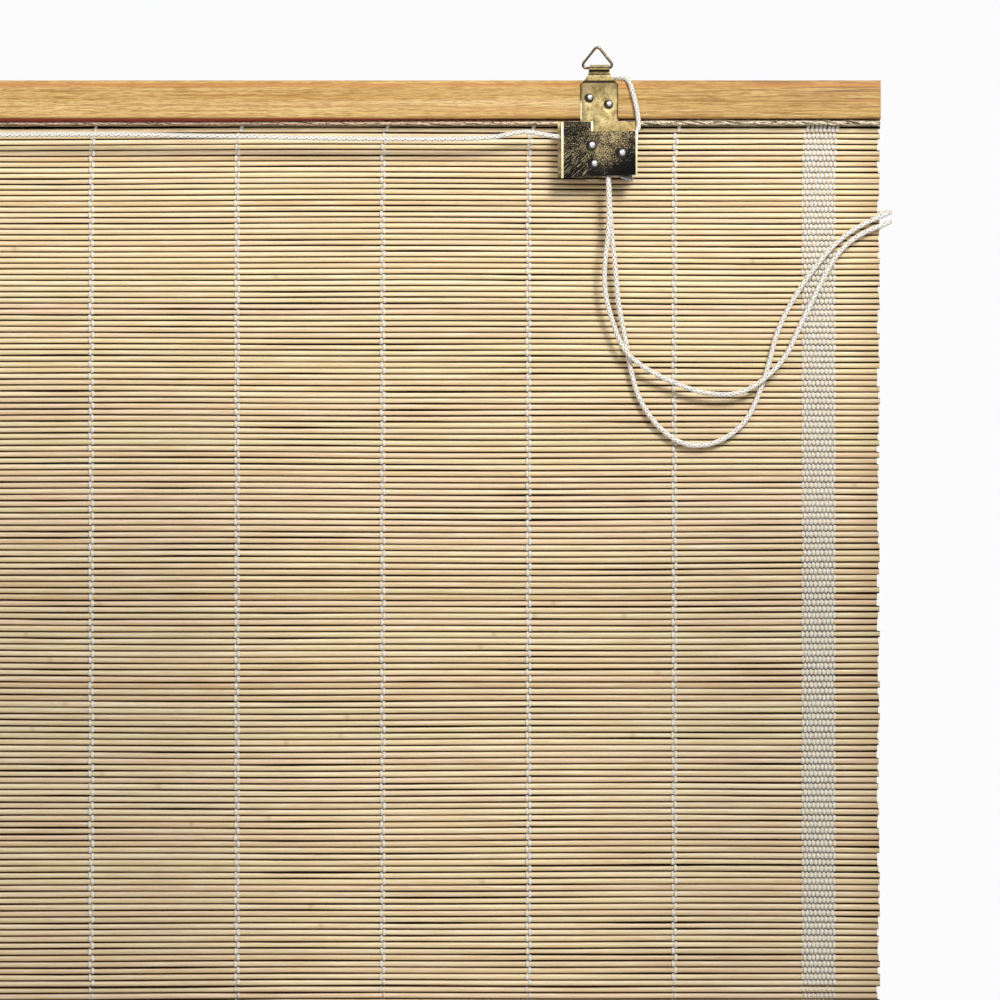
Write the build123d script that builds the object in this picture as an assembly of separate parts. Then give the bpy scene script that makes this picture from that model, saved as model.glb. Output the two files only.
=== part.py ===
from build123d import *
import math
import os

# Bamboo roll-up blind, hanging from two hooks. Millimetres, +Z up, front towards -Y, +X to the right seen from
# the front. The origin is midway between the two hook seats, the inside tops of the two wire rings.

# Overall sizes
BLIND_WIDTH = 600.0
BLIND_DROP = 1600.0  # from the head rail's top to the bottom rod's underside
CORD_D = 2.2

# Head rail
RAIL_HEIGHT = 17.7
RAIL_DEPTH = 6.0
RAIL_CHAMFER = 0.6
RAIL_TOP_Z = -14.5

# Metal fittings
FITTING_X = 168.9  # each fitting's middle, from the blind's middle
SHEET_T = 0.7
WIRE_R = 0.63
EYE_BORE_R = 0.85
EYE_WIDTH = 9.3
EYE_Z = -8.9
RING_HALF_WIDTH = 8.1
RING_CORNER_R = 1.6
HOUSING_DEPTH = 6.2  # inside, from the hanger plate to the cover
RIVET_R = 0.9
RUNNING_GAP = 0.05
TAB_WIDTH = 17.5
NAIL_R = 0.7
NAIL_HEAD_R = 1.85
NAIL_LENGTH = 5.0
WHEEL_PITCH_R = 4.2  # from a cord wheel's axis to the middle of the cord in its groove
WHEEL_FLANGE_R = 4.35
ROLLER_R = 3.6

# Woven mat
PITCH_OPEN = 2.965  # from stick to stick low down
PITCH_TIGHTEN = 0.35  # how much closer the sticks are packed at the top
TIGHT_DEPTH = 150.0
STICK_GAP = 0.3
STICK_NODES = 9
FIRST_STICK_BELOW_RAIL = 5.4  # from the rail's underside to the first stick's axis
STICKS_BEHIND_RAIL = 5
TOP_STICK_DROP = 4.0  # from the rail's top to the top stick's axis
STAPLE_SLIT = 1.0  # the wider gap under the top stick, which the staples' legs pass through
YARN_BUNDLE_D = 2.4
WARP_SPACING = 68.0
WARP_WIDTH = 3.0
WARP_THICK = 1.0
WARP_CLEARANCE = 0.1
TAPE_WIDTH = 17.0
TAPE_X = 4 * WARP_SPACING
STAPLE_WIRE_R = 0.35
STAPLE_DEPTH = 4.0
STAPLE_INSET = 34.0
BOTTOM_ROD_R = 2.25
END_LOOP_T = 0.75  # the yarn ends wound round the bottom rod
LIFT_LOOP_GAP = 0.1  # between the rod and a lift cord's loop round it
LIFT_X = 174.0  # where each lift cord climbs the mat's back, from the blind's middle

# Where things lie
CORD_R = CORD_D / 2
PLATE_FRONT = EYE_BORE_R
PLATE_BACK = PLATE_FRONT + SHEET_T
COVER_BACK = PLATE_FRONT - HOUSING_DEPTH
COVER_FRONT = COVER_BACK - SHEET_T
HOUSING_MID = (PLATE_FRONT + COVER_BACK) / 2
RAIL_FRONT = PLATE_BACK
RAIL_BACK = RAIL_FRONT + RAIL_DEPTH
RAIL_BOTTOM_Z = RAIL_TOP_Z - RAIL_HEIGHT
STICK_MAX_R = (PITCH_OPEN - STICK_GAP) / 2
MAT_HALF = STICK_MAX_R + WARP_CLEARANCE + WARP_THICK
MAT_Y = RAIL_BACK + WARP_CLEARANCE + MAT_HALF
ROD_Z = RAIL_TOP_Z - BLIND_DROP + BOTTOM_ROD_R
LIFT_CORD_Y = MAT_Y + BOTTOM_ROD_R + LIFT_LOOP_GAP + CORD_R

os.makedirs("parts", exist_ok=True)


def save(name, *solids):
    shape = solids[0] if len(solids) == 1 else Compound(children=list(solids))
    export_step(shape, f"parts/{name}.step")


def box(x, y, z):
    """A box from its (low, high) limits along each axis."""
    sizes = [high - low for low, high in (x, y, z)]
    centre = [(low + high) / 2 for low, high in (x, y, z)]
    return Pos(*centre) * Box(*sizes)


def along_x(radius, length, x, y, z):
    return Pos(x, y, z) * Cylinder(radius, length, rotation=(0, 90, 0))


def along_y(radius, x, z, y_low, y_high):
    return Pos(x, (y_low + y_high) / 2, z) * Cylinder(radius, y_high - y_low, rotation=(90, 0, 0))


def sheet_of(outline, y_low, y_high):
    """A flat piece between two depths, from its outline of (x, z) points."""
    face = make_face(Polyline(*[(x, y_high, z) for x, z in outline], close=True))
    return extrude(face, amount=y_high - y_low, dir=(0, -1, 0))


def largest_radii(points):
    """One radius for each corner of a route: 0.45 of the shorter run, over the tangent of half the turn."""
    radii = []
    for before, at, after in zip(points, points[1:], points[2:]):
        run_in = Vector(*at) - Vector(*before)
        run_out = Vector(*after) - Vector(*at)
        half_turn = math.radians(run_in.get_angle(run_out)) / 2
        radii.append(0.45 * min(run_in.length, run_out.length) / math.tan(half_turn))
    return radii


def tube(name, points, radius, radii=None):
    """A cord's tube: straight runs joined by tangent arcs."""
    radii = radii or largest_radii(points)
    path = FilletPolyline(*points, radius=radii)
    solid = sweep(Plane(origin=path @ 0, z_dir=path % 0) * Circle(radius), path=path)
    share = solid.volume / (math.pi * radius**2 * path.length)
    print(f"{name}: length {path.length:.1f}, volume share {share:.4f},",
          "radii", " ".join(f"{r:.1f}" for r in radii))
    return solid


# ---------------------------------------------------------------- head rail and mat

def pitch_at(depth):
    return PITCH_OPEN - PITCH_TIGHTEN * math.exp(-((depth / TIGHT_DEPTH) ** 2))


def stick_heights():
    """The (height, diameter) of every stick, from the top down."""
    close = pitch_at(0)
    first = RAIL_TOP_Z - TOP_STICK_DROP
    second = first - (close - STICK_GAP) - STAPLE_SLIT
    heights = [(first, close - STICK_GAP)]
    heights += [(second - i * close, close - STICK_GAP) for i in range(STICKS_BEHIND_RAIL - 1)]
    start = RAIL_BOTTOM_Z - FIRST_STICK_BELOW_RAIL
    z = start
    lowest = ROD_Z + BOTTOM_ROD_R + LIFT_LOOP_GAP + CORD_D + STICK_GAP
    while z - STICK_MAX_R > lowest:
        pitch = pitch_at(start - z)
        heights.append((z, pitch - STICK_GAP))
        z -= pitch
    return heights


STICKS = stick_heights()
STAPLES_X = [side * (STAPLE_INSET + i * WARP_SPACING) for side in (-1, 1) for i in range(4)]
STAPLE_LEGS_Z = [
    STICKS[0][0] + STICKS[0][1] / 2 + STAPLE_SLIT / 2,
    STICKS[0][0] - STICKS[0][1] / 2 - STAPLE_SLIT / 2,
]
NAILS = [(-4.5, -22.5), (4.5, -25.5)]  # from a fitting's middle


def head_rail():
    rail = box((-BLIND_WIDTH / 2, BLIND_WIDTH / 2), (RAIL_FRONT, RAIL_BACK), (RAIL_BOTTOM_Z, RAIL_TOP_Z))
    rail = chamfer(rail.edges().filter_by(Axis.X), RAIL_CHAMFER)
    for side in (-1, 1):
        for x, z in NAILS:
            rail -= along_y(NAIL_R, side * FITTING_X + x, z, RAIL_FRONT - 1, RAIL_FRONT + NAIL_LENGTH)
    for x in STAPLES_X:
        for z in STAPLE_LEGS_Z:
            rail -= along_y(STAPLE_WIRE_R, x, z, RAIL_BACK - STAPLE_DEPTH, RAIL_BACK + 1)
    return rail


def staple(x):
    """A wire staple over the top stick, with its legs in the rail."""
    crown_y = MAT_Y + STICKS[0][1] / 2 + STAPLE_WIRE_R + 0.1
    tip_y = RAIL_BACK - STAPLE_DEPTH
    high, low = STAPLE_LEGS_Z
    path = FilletPolyline((x, tip_y, high), (x, crown_y, high), (x, crown_y, low), (x, tip_y, low), radius=0.5)
    return sweep(Plane(origin=path @ 0, z_dir=path % 0) * Circle(STAPLE_WIRE_R), path=path)


def mat():
    each = math.ceil(len(STICKS) / STICK_NODES)
    groups = [STICKS[i:i + each] for i in range(0, len(STICKS), each)]
    for number, group in enumerate(groups, 1):
        save(f"bamboo_sticks_{number}", *[along_x(d / 2, BLIND_WIDTH, 0, MAT_Y, z) for z, d in group])
    print("sticks", len(STICKS), "in", len(groups), "nodes")

    bundle_z = RAIL_BOTTOM_Z - 0.35 - YARN_BUNDLE_D / 2
    save("top_yarn_bundle", along_x(YARN_BUNDLE_D / 2, BLIND_WIDTH, 0, MAT_Y, bundle_z))

    top, bottom = STICKS[0][0] + 2, ROD_Z + BOTTOM_ROD_R + 1.2
    near, far = MAT_HALF - WARP_THICK, MAT_HALF

    def strips(x, width):
        sides = ((MAT_Y - far, MAT_Y - near), (MAT_Y + near, MAT_Y + far))
        return [box((x - width / 2, x + width / 2), side, (bottom, top)) for side in sides]

    for number in range(7):
        save(f"warp_thread_{number + 1}", *strips((number - 3) * WARP_SPACING, WARP_WIDTH))
    save("left_woven_tape", *strips(-TAPE_X, TAPE_WIDTH))
    save("right_woven_tape", *strips(TAPE_X, TAPE_WIDTH))

    def loop(x, width):
        outer = along_x(BOTTOM_ROD_R + END_LOOP_T, width, x, MAT_Y, ROD_Z)
        return outer - along_x(BOTTOM_ROD_R + RUNNING_GAP, width, x, MAT_Y, ROD_Z)

    loops = [loop((number - 3) * WARP_SPACING, WARP_WIDTH) for number in range(7)]
    loops += [loop(side * TAPE_X, TAPE_WIDTH) for side in (-1, 1)]
    save("warp_end_loops", *loops)
    save("bottom_rod", along_x(BOTTOM_ROD_R, BLIND_WIDTH, 0, MAT_Y, ROD_Z))


# ---------------------------------------------------------------- metal fittings

# Outlines are (x, z), with x from the fitting's middle.
SHOULDER_Z = RAIL_TOP_Z - 1.8
NECK_LEFT = [(-EYE_WIDTH / 2, EYE_Z), (-5.2, -12.1), (-6.8, RAIL_TOP_Z + 0.2), (-TAB_WIDTH / 2, SHOULDER_Z)]
NECK_RIGHT = [(-x, z) for x, z in reversed(NECK_LEFT)]
BASE_TOP_Z = RAIL_BOTTOM_Z - 1.6
LOCK_LEFT, LOCK_RIGHT = -17.7, 17.7
LOCK_BOTTOM_LEFT_Z, LOCK_BOTTOM_RIGHT_Z = -60.2, -58.6
COVER_TOP_Z = RAIL_BOTTOM_Z - 1.9
NOTCH_X, NOTCH_Z = -3.0, -38.5
TONGUE_X, TONGUE_Z, TONGUE_R = -3.0, -58.4, 4.4
WHEEL_AT = (-3.5, -45.0)
ROLLER_AT = (-2.4, -53.5)
PAWL_AT = (10.5, -48.5)
PULLEY_WHEEL_AT = (-14.0, WHEEL_AT[1] + 2 * WHEEL_PITCH_R)
PULLEY_RIVETS = [(2.0, -37.2), (2.0, -44.8)]
PULLEY_LEFT, PULLEY_RIGHT, PULLEY_BOTTOM_Z = -21.5, TAB_WIDTH / 2, -47.5


def hanger_plate(base, rivets, tongue=None):
    """A plate nailed to the rail, with its neck curled into an eye for the ring."""
    tab = NECK_LEFT + [(-TAB_WIDTH / 2, BASE_TOP_Z)] + [(TAB_WIDTH / 2, BASE_TOP_Z)] + NECK_RIGHT
    plate = sheet_of(tab, PLATE_FRONT, PLATE_BACK) + sheet_of(base, PLATE_FRONT, PLATE_BACK)
    if tongue:
        plate += along_y(tongue[2], tongue[0], tongue[1], PLATE_FRONT, PLATE_BACK)
    plate += along_x(EYE_BORE_R + SHEET_T, EYE_WIDTH, 0, 0, EYE_Z)
    plate -= along_x(EYE_BORE_R, EYE_WIDTH + 1, 0, 0, EYE_Z)
    slit = box((-EYE_WIDTH, EYE_WIDTH), (-2, 0.3), (EYE_Z - 1.1, EYE_Z - 0.8))
    crease = box((-7, 7), (PLATE_FRONT - 1, PLATE_FRONT + 0.25), (RAIL_TOP_Z - 0.5, RAIL_TOP_Z - 0.1))
    plate = plate - slit - crease
    for x, z in NAILS:
        plate -= along_y(NAIL_R + 0.1, x, z, PLATE_FRONT - 1, PLATE_BACK + 1)
    for x, z in rivets:
        plate -= along_y(RIVET_R, x, z, PLATE_FRONT - 1, PLATE_BACK + 1)
    return plate


def ring():
    """A bent-wire triangle whose base lies in the eye and whose inside top is the hook's seat, at height 0."""
    height = -EYE_Z
    apex = height
    for _ in range(20):
        half_angle = math.atan(RING_HALF_WIDTH / apex)
        apex = height + WIRE_R + RING_CORNER_R / math.sin(half_angle) - RING_CORNER_R
    corners = [(-RING_HALF_WIDTH, 0, EYE_Z), (0, 0, EYE_Z + apex), (RING_HALF_WIDTH, 0, EYE_Z)]
    path = FilletPolyline(*corners, radius=RING_CORNER_R, close=True)
    return sweep(Plane(origin=path @ 0, z_dir=path % 0) * Circle(WIRE_R), path=path)


def grooved_wheel():
    """A cord wheel on the Y axis with a V groove, at the housing's middle depth."""
    half = HOUSING_DEPTH / 2 - 0.4
    groove_r = WHEEL_PITCH_R - CORD_R
    profile = Polyline(
        (RIVET_R + RUNNING_GAP, -half), (WHEEL_FLANGE_R, -half), (WHEEL_FLANGE_R, -CORD_R - 0.5),
        (groove_r, -0.6), (groove_r, 0.6), (WHEEL_FLANGE_R, CORD_R + 0.5),
        (WHEEL_FLANGE_R, half), (RIVET_R + RUNNING_GAP, half), close=True)
    turned = revolve(make_face(profile), Axis.Y)
    return Pos(0, HOUSING_MID, 0) * turned


def plain_roller():
    half = HOUSING_DEPTH / 2 - 0.4
    roller = Cylinder(ROLLER_R, 2 * half, rotation=(90, 0, 0))
    roller = fillet(roller.edges(), 0.4)
    return Pos(0, HOUSING_MID, 0) * (roller - Cylinder(RIVET_R + RUNNING_GAP, 4 * half, rotation=(90, 0, 0)))


def domed_pin(x, z, head_r, head_height, shank_r, seat_y, rest):
    """A pin turned about Y: a domed head in front of seat_y, a shank, and the rest of its half-outline."""
    ball_r = (head_r**2 + head_height**2) / (2 * head_height)
    half = math.atan2(head_r, ball_r - head_height) / 2
    middle = (ball_r * math.sin(half), seat_y + ball_r - head_height - ball_r * math.cos(half))
    top, rim = (0, seat_y - head_height), (head_r, seat_y)
    side = Polyline(rim, (shank_r, seat_y), *rest, top)
    return Pos(x, 0, z) * revolve(make_face(ThreePointArc(top, middle, rim) + side), Axis.Y)


def rivet(x, z, head_r):
    """A rivet through cover and plate: a domed head in front, a flat one behind."""
    tail_r, end = RIVET_R + 0.7, PLATE_BACK + 0.6
    rest = [(RIVET_R, PLATE_BACK), (tail_r, PLATE_BACK), (tail_r, end), (0, end)]
    return domed_pin(x, z, head_r, 0.5 * head_r, RIVET_R, COVER_FRONT, rest)


def nail(x, z):
    tip = RAIL_FRONT + NAIL_LENGTH
    return domed_pin(x, z, NAIL_HEAD_R, 1.0, NAIL_R, PLATE_FRONT, [(NAIL_R, tip), (0, tip)])


def lock_cover():
    """The lock's bent front sheet: an L-shaped face, a wall down its left side and a lip along its top."""
    face = [(LOCK_LEFT, COVER_TOP_Z), (NOTCH_X, COVER_TOP_Z), (NOTCH_X, NOTCH_Z), (LOCK_RIGHT, NOTCH_Z),
            (LOCK_RIGHT, LOCK_BOTTOM_RIGHT_Z), (LOCK_LEFT, LOCK_BOTTOM_LEFT_Z)]
    cover = sheet_of(face, COVER_FRONT, COVER_BACK)
    cover += box((LOCK_LEFT, LOCK_LEFT + SHEET_T), (COVER_FRONT, PLATE_FRONT), (LOCK_BOTTOM_LEFT_Z, COVER_TOP_Z))
    cover += box((LOCK_LEFT, NOTCH_X), (COVER_FRONT, COVER_BACK + 1.6), (COVER_TOP_Z - SHEET_T, COVER_TOP_Z))
    cord_z = WHEEL_AT[1] + WHEEL_PITCH_R
    cover -= box((LOCK_LEFT - 1, LOCK_LEFT + 1), (HOUSING_MID - 1.9, PLATE_FRONT + 1), (cord_z - 2.1, cord_z + 2.6))
    for x, z in (WHEEL_AT, ROLLER_AT, PAWL_AT):
        cover -= along_y(RIVET_R, x, z, COVER_FRONT - 1, COVER_BACK + 1)
    return cover


def pawl():
    """The lock's cam: a hub on its rivet and a tail whose lower edge is notched and spirals outwards."""
    start, end, teeth = math.radians(-111), math.radians(-68), 6
    near, far, notch = 10.1, 14.3, 0.75
    edge = []
    for tooth in range(teeth + 1):
        share = tooth / teeth
        angle = start + (end - start) * share
        reach = near + (far - near) * share
        edge.append((reach * math.cos(angle), reach * math.sin(angle)))
        if tooth < teeth:
            angle += (end - start) / teeth * 0.12
            edge.append(((reach - notch) * math.cos(angle), (reach - notch) * math.sin(angle)))
    outline = [(-2.5, -1.2)] + edge + [(2.7, -0.6)]
    low, high = COVER_BACK + 0.5, PLATE_FRONT - 0.5
    shape = sheet_of(outline, low, high) + along_y(2.8, 0, 0, low, high)
    return shape - along_y(RIVET_R + RUNNING_GAP, 0, 0, low - 1, high + 1)


def pulley_cover():
    face = [(PULLEY_LEFT, COVER_TOP_Z), (TAB_WIDTH / 2 - 2, COVER_TOP_Z),
            (TAB_WIDTH / 2 - 2, PULLEY_BOTTOM_Z + 1), (PULLEY_LEFT, PULLEY_BOTTOM_Z + 1)]
    cover = sheet_of(face, COVER_FRONT, COVER_BACK)
    cover += box((PULLEY_LEFT, PULLEY_LEFT + SHEET_T), (COVER_FRONT, PLATE_FRONT),
                 (PULLEY_BOTTOM_Z + 1, COVER_TOP_Z))
    for x, z in [PULLEY_WHEEL_AT] + PULLEY_RIVETS:
        cover -= along_y(RIVET_R, x, z, COVER_FRONT - 1, COVER_BACK + 1)
    return cover


def fittings():
    lock = Pos(FITTING_X, 0, 0)
    pulley = Pos(-FITTING_X, 0, 0)
    lock_base = [(LOCK_LEFT - 1.6, BASE_TOP_Z), (LOCK_RIGHT, BASE_TOP_Z),
                 (LOCK_RIGHT, LOCK_BOTTOM_RIGHT_Z), (LOCK_LEFT - 1.6, LOCK_BOTTOM_LEFT_Z)]
    pulley_base = [(PULLEY_LEFT - 1.0, BASE_TOP_Z), (PULLEY_RIGHT, BASE_TOP_Z),
                   (PULLEY_RIGHT, PULLEY_BOTTOM_Z), (PULLEY_LEFT - 1.0, PULLEY_BOTTOM_Z)]
    tongue = (TONGUE_X, TONGUE_Z, TONGUE_R)
    save("lock_hanger_plate", lock * hanger_plate(lock_base, (WHEEL_AT, ROLLER_AT, PAWL_AT), tongue))
    save("lock_cover", lock * lock_cover())
    save("lock_ring", lock * ring())
    save("lock_cord_wheel", lock * Pos(WHEEL_AT[0], 0, WHEEL_AT[1]) * grooved_wheel())
    save("lock_pinch_roller", lock * Pos(ROLLER_AT[0], 0, ROLLER_AT[1]) * plain_roller())
    save("lock_pawl", lock * Pos(PAWL_AT[0], 0, PAWL_AT[1]) * pawl())
    save("lock_rivets", *[lock * rivet(*at, r) for at, r in ((WHEEL_AT, 2.2), (ROLLER_AT, 1.85), (PAWL_AT, 2.1))])
    save("lock_nails", *[lock * nail(*at) for at in NAILS])
    save("pulley_hanger_plate", pulley * hanger_plate(pulley_base, [PULLEY_WHEEL_AT] + PULLEY_RIVETS))
    save("pulley_cover", pulley * pulley_cover())
    save("pulley_ring", pulley * ring())
    save("pulley_cord_wheel", pulley * Pos(PULLEY_WHEEL_AT[0], 0, PULLEY_WHEEL_AT[1]) * grooved_wheel())
    save("pulley_rivets", *[pulley * rivet(*at, 2.1) for at in [PULLEY_WHEEL_AT] + PULLEY_RIVETS])
    save("pulley_nails", *[pulley * nail(*at) for at in NAILS])


# ---------------------------------------------------------------- cords

EXIT_Z = -60.2
KNOT_TOP_Z = ROD_Z + 8.0
OVER_RAIL_Z = RAIL_TOP_Z + CORD_R + 0.5
OVER_EDGE_R = 2.0


def lift_route(side):
    """Up the mat's back, over the rail and down its front to beside the fitting."""
    return [
        (side * LIFT_X, LIFT_CORD_Y, KNOT_TOP_Z),
        (side * (LIFT_X + 0.6), LIFT_CORD_Y, OVER_RAIL_Z),
        (side * 182.0, 0.1, OVER_RAIL_Z),
        (side * 185.2, 0.0, -22.0),
        (side * 187.0, -0.3, -31.0),
    ]


LIFT_RADII = [OVER_EDGE_R, OVER_EDGE_R, 12.0]


def right_lift_cord():
    inside = [(187.3, -1.2, -37.5), (184.0, -2.9, -41.2), (176.8, -3.6, -44.2), (172.7, -3.75, -51.35),
              (173.0, -3.6, EXIT_Z)]
    route = lift_route(1) + inside
    return tube("right_lift_cord", route, CORD_R, LIFT_RADII + largest_radii(route)[3:])


def left_lift_cord():
    wheel_z = WHEEL_AT[1] + WHEEL_PITCH_R
    wheel_x = FITTING_X + WHEEL_AT[0]
    pulley_x = -FITTING_X + PULLEY_WHEEL_AT[0] - WHEEL_PITCH_R
    y = HOUSING_MID
    up = lift_route(-1)[:-1] + [(pulley_x, y - 0.05, -31.5)]
    run = [
        (pulley_x, y, wheel_z), (-155.0, y, wheel_z), (-120.0, y, -40.2), (-85.0, y, -39.8), (-50.0, y, -39.9),
        (-20.0, y, -40.5), (8.0, y, -40.9), (36.0, y, -41.6), (66.0, y, -41.9), (95.0, y, -42.0),
        (116.0, y, -41.7), (126.5, y, -39.9), (134.4, y, -38.5), (142.5, y, -39.9),
        (150.0, y, wheel_z), (wheel_x + WHEEL_PITCH_R, y, wheel_z),
        (wheel_x + WHEEL_PITCH_R + 0.3, y, -47.5), (173.0, -1.22, -53.2), (173.3, -1.0, EXIT_Z),
    ]
    route = up + run
    radii = largest_radii(route)
    radii[:3] = LIFT_RADII
    radii[len(up) - 1] = WHEEL_PITCH_R
    radii[len(route) - 5] = WHEEL_PITCH_R - 0.05
    return tube("left_lift_cord", route, CORD_R, radii)


RIGHT_PULL_ROUTE = [
    (173.0, -3.6, -60.2), (173.4, -3.4, -72.0), (173.2, -2.6, -86.0), (171.4, -1.4, -99.0),
    (171.2, -0.2, -113.0), (175.0, 0.6, -127.0), (180.5, 1.1, -141.0), (191.0, 1.6, -149.3),
    (205.0, 2.1, -156.0), (219.0, 2.4, -160.6), (233.0, 2.5, -161.0), (245.0, 2.6, -154.8),
    (256.0, 3.0, -143.5), (262.0, 3.7, -129.5), (268.5, 4.5, -116.5), (274.7, 5.1, -103.5),
    (281.5, 5.5, -93.0), (291.0, 5.6, -85.5), (304.4, 6.0, -80.5), (304.6, 14.3, -79.8),
    (297.0, 14.7, -84.0), (293.6, 14.6, -97.0), (294.0, 14.9, -124.0), (293.2, 14.7, -170.0),
    (293.9, 15.0, -222.0), (293.4, 14.7, -276.0), (294.0, 15.0, -332.0), (293.5, 15.2, -390.0),
    (293.8, 15.8, -446.0),
]
LEFT_PULL_ROUTE = [
    (173.3, -1.0, -60.2), (173.8, -0.6, -73.0), (174.8, 0.6, -88.0), (176.6, 2.0, -103.0),
    (177.6, 3.2, -118.0), (181.0, 4.2, -134.0), (183.4, 5.0, -149.0), (187.5, 5.5, -163.5),
    (196.5, 5.6, -176.5), (209.0, 5.6, -185.0), (224.0, 5.6, -183.8), (237.0, 5.6, -174.5),
    (243.6, 5.6, -160.5), (248.2, 5.6, -146.0), (251.6, 5.6, -131.5), (259.0, 5.6, -116.5),
    (268.5, 5.6, -102.5), (279.5, 5.6, -89.5), (291.0, 5.7, -81.5), (304.4, 6.0, -76.0),
    (304.6, 14.3, -75.3), (293.0, 14.7, -77.0), (286.6, 14.6, -89.0), (285.8, 14.8, -113.0),
    (286.4, 15.1, -157.0), (285.6, 14.7, -211.0), (286.3, 15.0, -267.0), (285.8, 14.7, -321.0),
    (286.2, 15.1, -374.0), (285.9, 15.8, -428.0),
]


def end_knot(route):
    """A knot in a pull cord's end, cut flat where the cord enters it."""
    x, y, z = route[-1]
    radius = 1.15 * CORD_D
    knot = Pos(x, y, z - 0.8 * radius) * Sphere(radius)
    knot -= box((x - 9, x + 9), (y - 9, y + 9), (z, z + 9))
    return knot


def lift_knot(side):
    """A lift cord's end, looped round the bottom rod and knotted above it."""
    x = side * LIFT_X
    loop_r = BOTTOM_ROD_R + LIFT_LOOP_GAP + CORD_R
    loop = Pos(x, MAT_Y, ROD_Z) * Torus(loop_r, CORD_R, rotation=(0, 90, 0))
    knot = Pos(x, LIFT_CORD_Y, (ROD_Z + 2 + KNOT_TOP_Z) / 2) * Cylinder(1.75, KNOT_TOP_Z - ROD_Z - 2)
    rod_room = along_x(BOTTOM_ROD_R + RUNNING_GAP, 9, x, MAT_Y, ROD_Z)
    return loop + knot - rod_room


def cords():
    save("right_lift_cord", right_lift_cord())
    save("left_lift_cord", left_lift_cord())
    save("right_pull_cord", tube("right_pull_cord", RIGHT_PULL_ROUTE, CORD_R))
    save("left_pull_cord", tube("left_pull_cord", LEFT_PULL_ROUTE, CORD_R))
    save("right_pull_knot", end_knot(RIGHT_PULL_ROUTE))
    save("left_pull_knot", end_knot(LEFT_PULL_ROUTE))
    save("lift_cord_knots", lift_knot(-1), lift_knot(1))


save("head_rail", head_rail())
save("rail_staples", *[staple(x) for x in STAPLES_X])
mat()
fittings()
cords()
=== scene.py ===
"""The looks of a bamboo roll-up blind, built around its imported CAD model. Metres, front towards -Y, +Z up."""

import math

import bmesh
import bpy
import numpy as np
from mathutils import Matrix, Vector


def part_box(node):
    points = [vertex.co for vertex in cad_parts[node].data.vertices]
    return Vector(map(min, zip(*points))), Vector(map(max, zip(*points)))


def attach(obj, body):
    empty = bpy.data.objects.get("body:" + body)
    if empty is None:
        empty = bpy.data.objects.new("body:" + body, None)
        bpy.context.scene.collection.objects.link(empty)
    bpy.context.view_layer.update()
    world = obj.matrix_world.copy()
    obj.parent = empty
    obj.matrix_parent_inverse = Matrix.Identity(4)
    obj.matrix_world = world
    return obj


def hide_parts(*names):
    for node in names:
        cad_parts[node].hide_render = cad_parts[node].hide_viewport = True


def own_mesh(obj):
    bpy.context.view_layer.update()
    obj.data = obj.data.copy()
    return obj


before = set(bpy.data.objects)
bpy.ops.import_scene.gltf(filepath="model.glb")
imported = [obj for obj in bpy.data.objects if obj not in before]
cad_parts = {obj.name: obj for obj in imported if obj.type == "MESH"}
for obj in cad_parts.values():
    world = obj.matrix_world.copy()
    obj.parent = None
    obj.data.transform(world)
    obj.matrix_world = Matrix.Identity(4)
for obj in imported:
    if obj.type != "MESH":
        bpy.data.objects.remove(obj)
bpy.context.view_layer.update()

MM = 0.001
rng = np.random.default_rng(11)


def limits(node):
    """A node's (low, high) corners, in millimetres."""
    low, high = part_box(node)
    return np.array(low) / MM, np.array(high) / MM


def middle(node):
    """The middle of a node's box, in millimetres."""
    low, high = limits(node)
    return (low + high) / 2


def shell_centres(node, *axes):
    """Where a node's separate solids lie along these axes, in millimetres, from low to high."""
    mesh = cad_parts[node].data
    points = np.empty(3 * len(mesh.vertices))
    mesh.vertices.foreach_get("co", points)
    points = points.reshape(-1, 3) / MM
    edges = np.empty(2 * len(mesh.edges), np.int64)
    mesh.edges.foreach_get("vertices", edges)
    edges = edges.reshape(-1, 2)
    label = np.arange(len(points))
    while True:
        lowest = np.minimum(label[edges[:, 0]], label[edges[:, 1]])
        before = label.copy()
        np.minimum.at(label, edges[:, 0], lowest)
        np.minimum.at(label, edges[:, 1], lowest)
        label = label[label]
        if (label == before).all():
            break
    centres = [(points[label == k].min(0) + points[label == k].max(0)) / 2 for k in np.unique(label)]
    return sorted({tuple(round(float(centre[axis]), 2) for axis in axes) for centre in centres})


FITTINGS = ("lock", "pulley")
THREADS = [f"warp_thread_{number}" for number in range(1, 8)]
TAPES = ("left_woven_tape", "right_woven_tape")
STICK_NODES = [f"bamboo_sticks_{number}" for number in range(1, 10)]

rail_low, rail_high = limits("head_rail")
rail_front, rail_back = rail_low[1], rail_high[1]
RAIL_TOP_Z = float(rail_high[2])
pin_places = {f"{fitting}_{kind}": shell_centres(f"{fitting}_{kind}", 0, 2)
              for fitting in FITTINGS for kind in ("rivets", "nails")}
rod_low, rod_high = limits("bottom_rod")
ROD_R = (rod_high[2] - rod_low[2]) / 2
MAT_Y = middle("bottom_rod")[1]
ROD_Z = middle("bottom_rod")[2]
BLIND_HALF = rod_high[0]
NOTCH_X = limits("lock_cover")[0][0] + 14.7  # the upright side of the notch in the lock's cover
NOTCH_Z = -38.2  # the notch's floor
TAB_HALF = 8.75  # half the width of a hanger plate's tab
TAB_FOOT_Z = -32.5
CORD_D = 2.2
SQUASH_FROM_Z = limits("top_yarn_bundle")[0][2] - 0.2  # the mat's pieces that hang below the rail start below this height
LAST_STICK_Z = shell_centres(STICK_NODES[-1], 2)[0][0]
HALF_STICK = 1.3  # half a stick's height
MAT_END_Z = LAST_STICK_Z - HALF_STICK


def show(name, data):
    """A new object in the scene."""
    made = bpy.data.objects.new(name, data)
    bpy.context.collection.objects.link(made)
    return made


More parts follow.
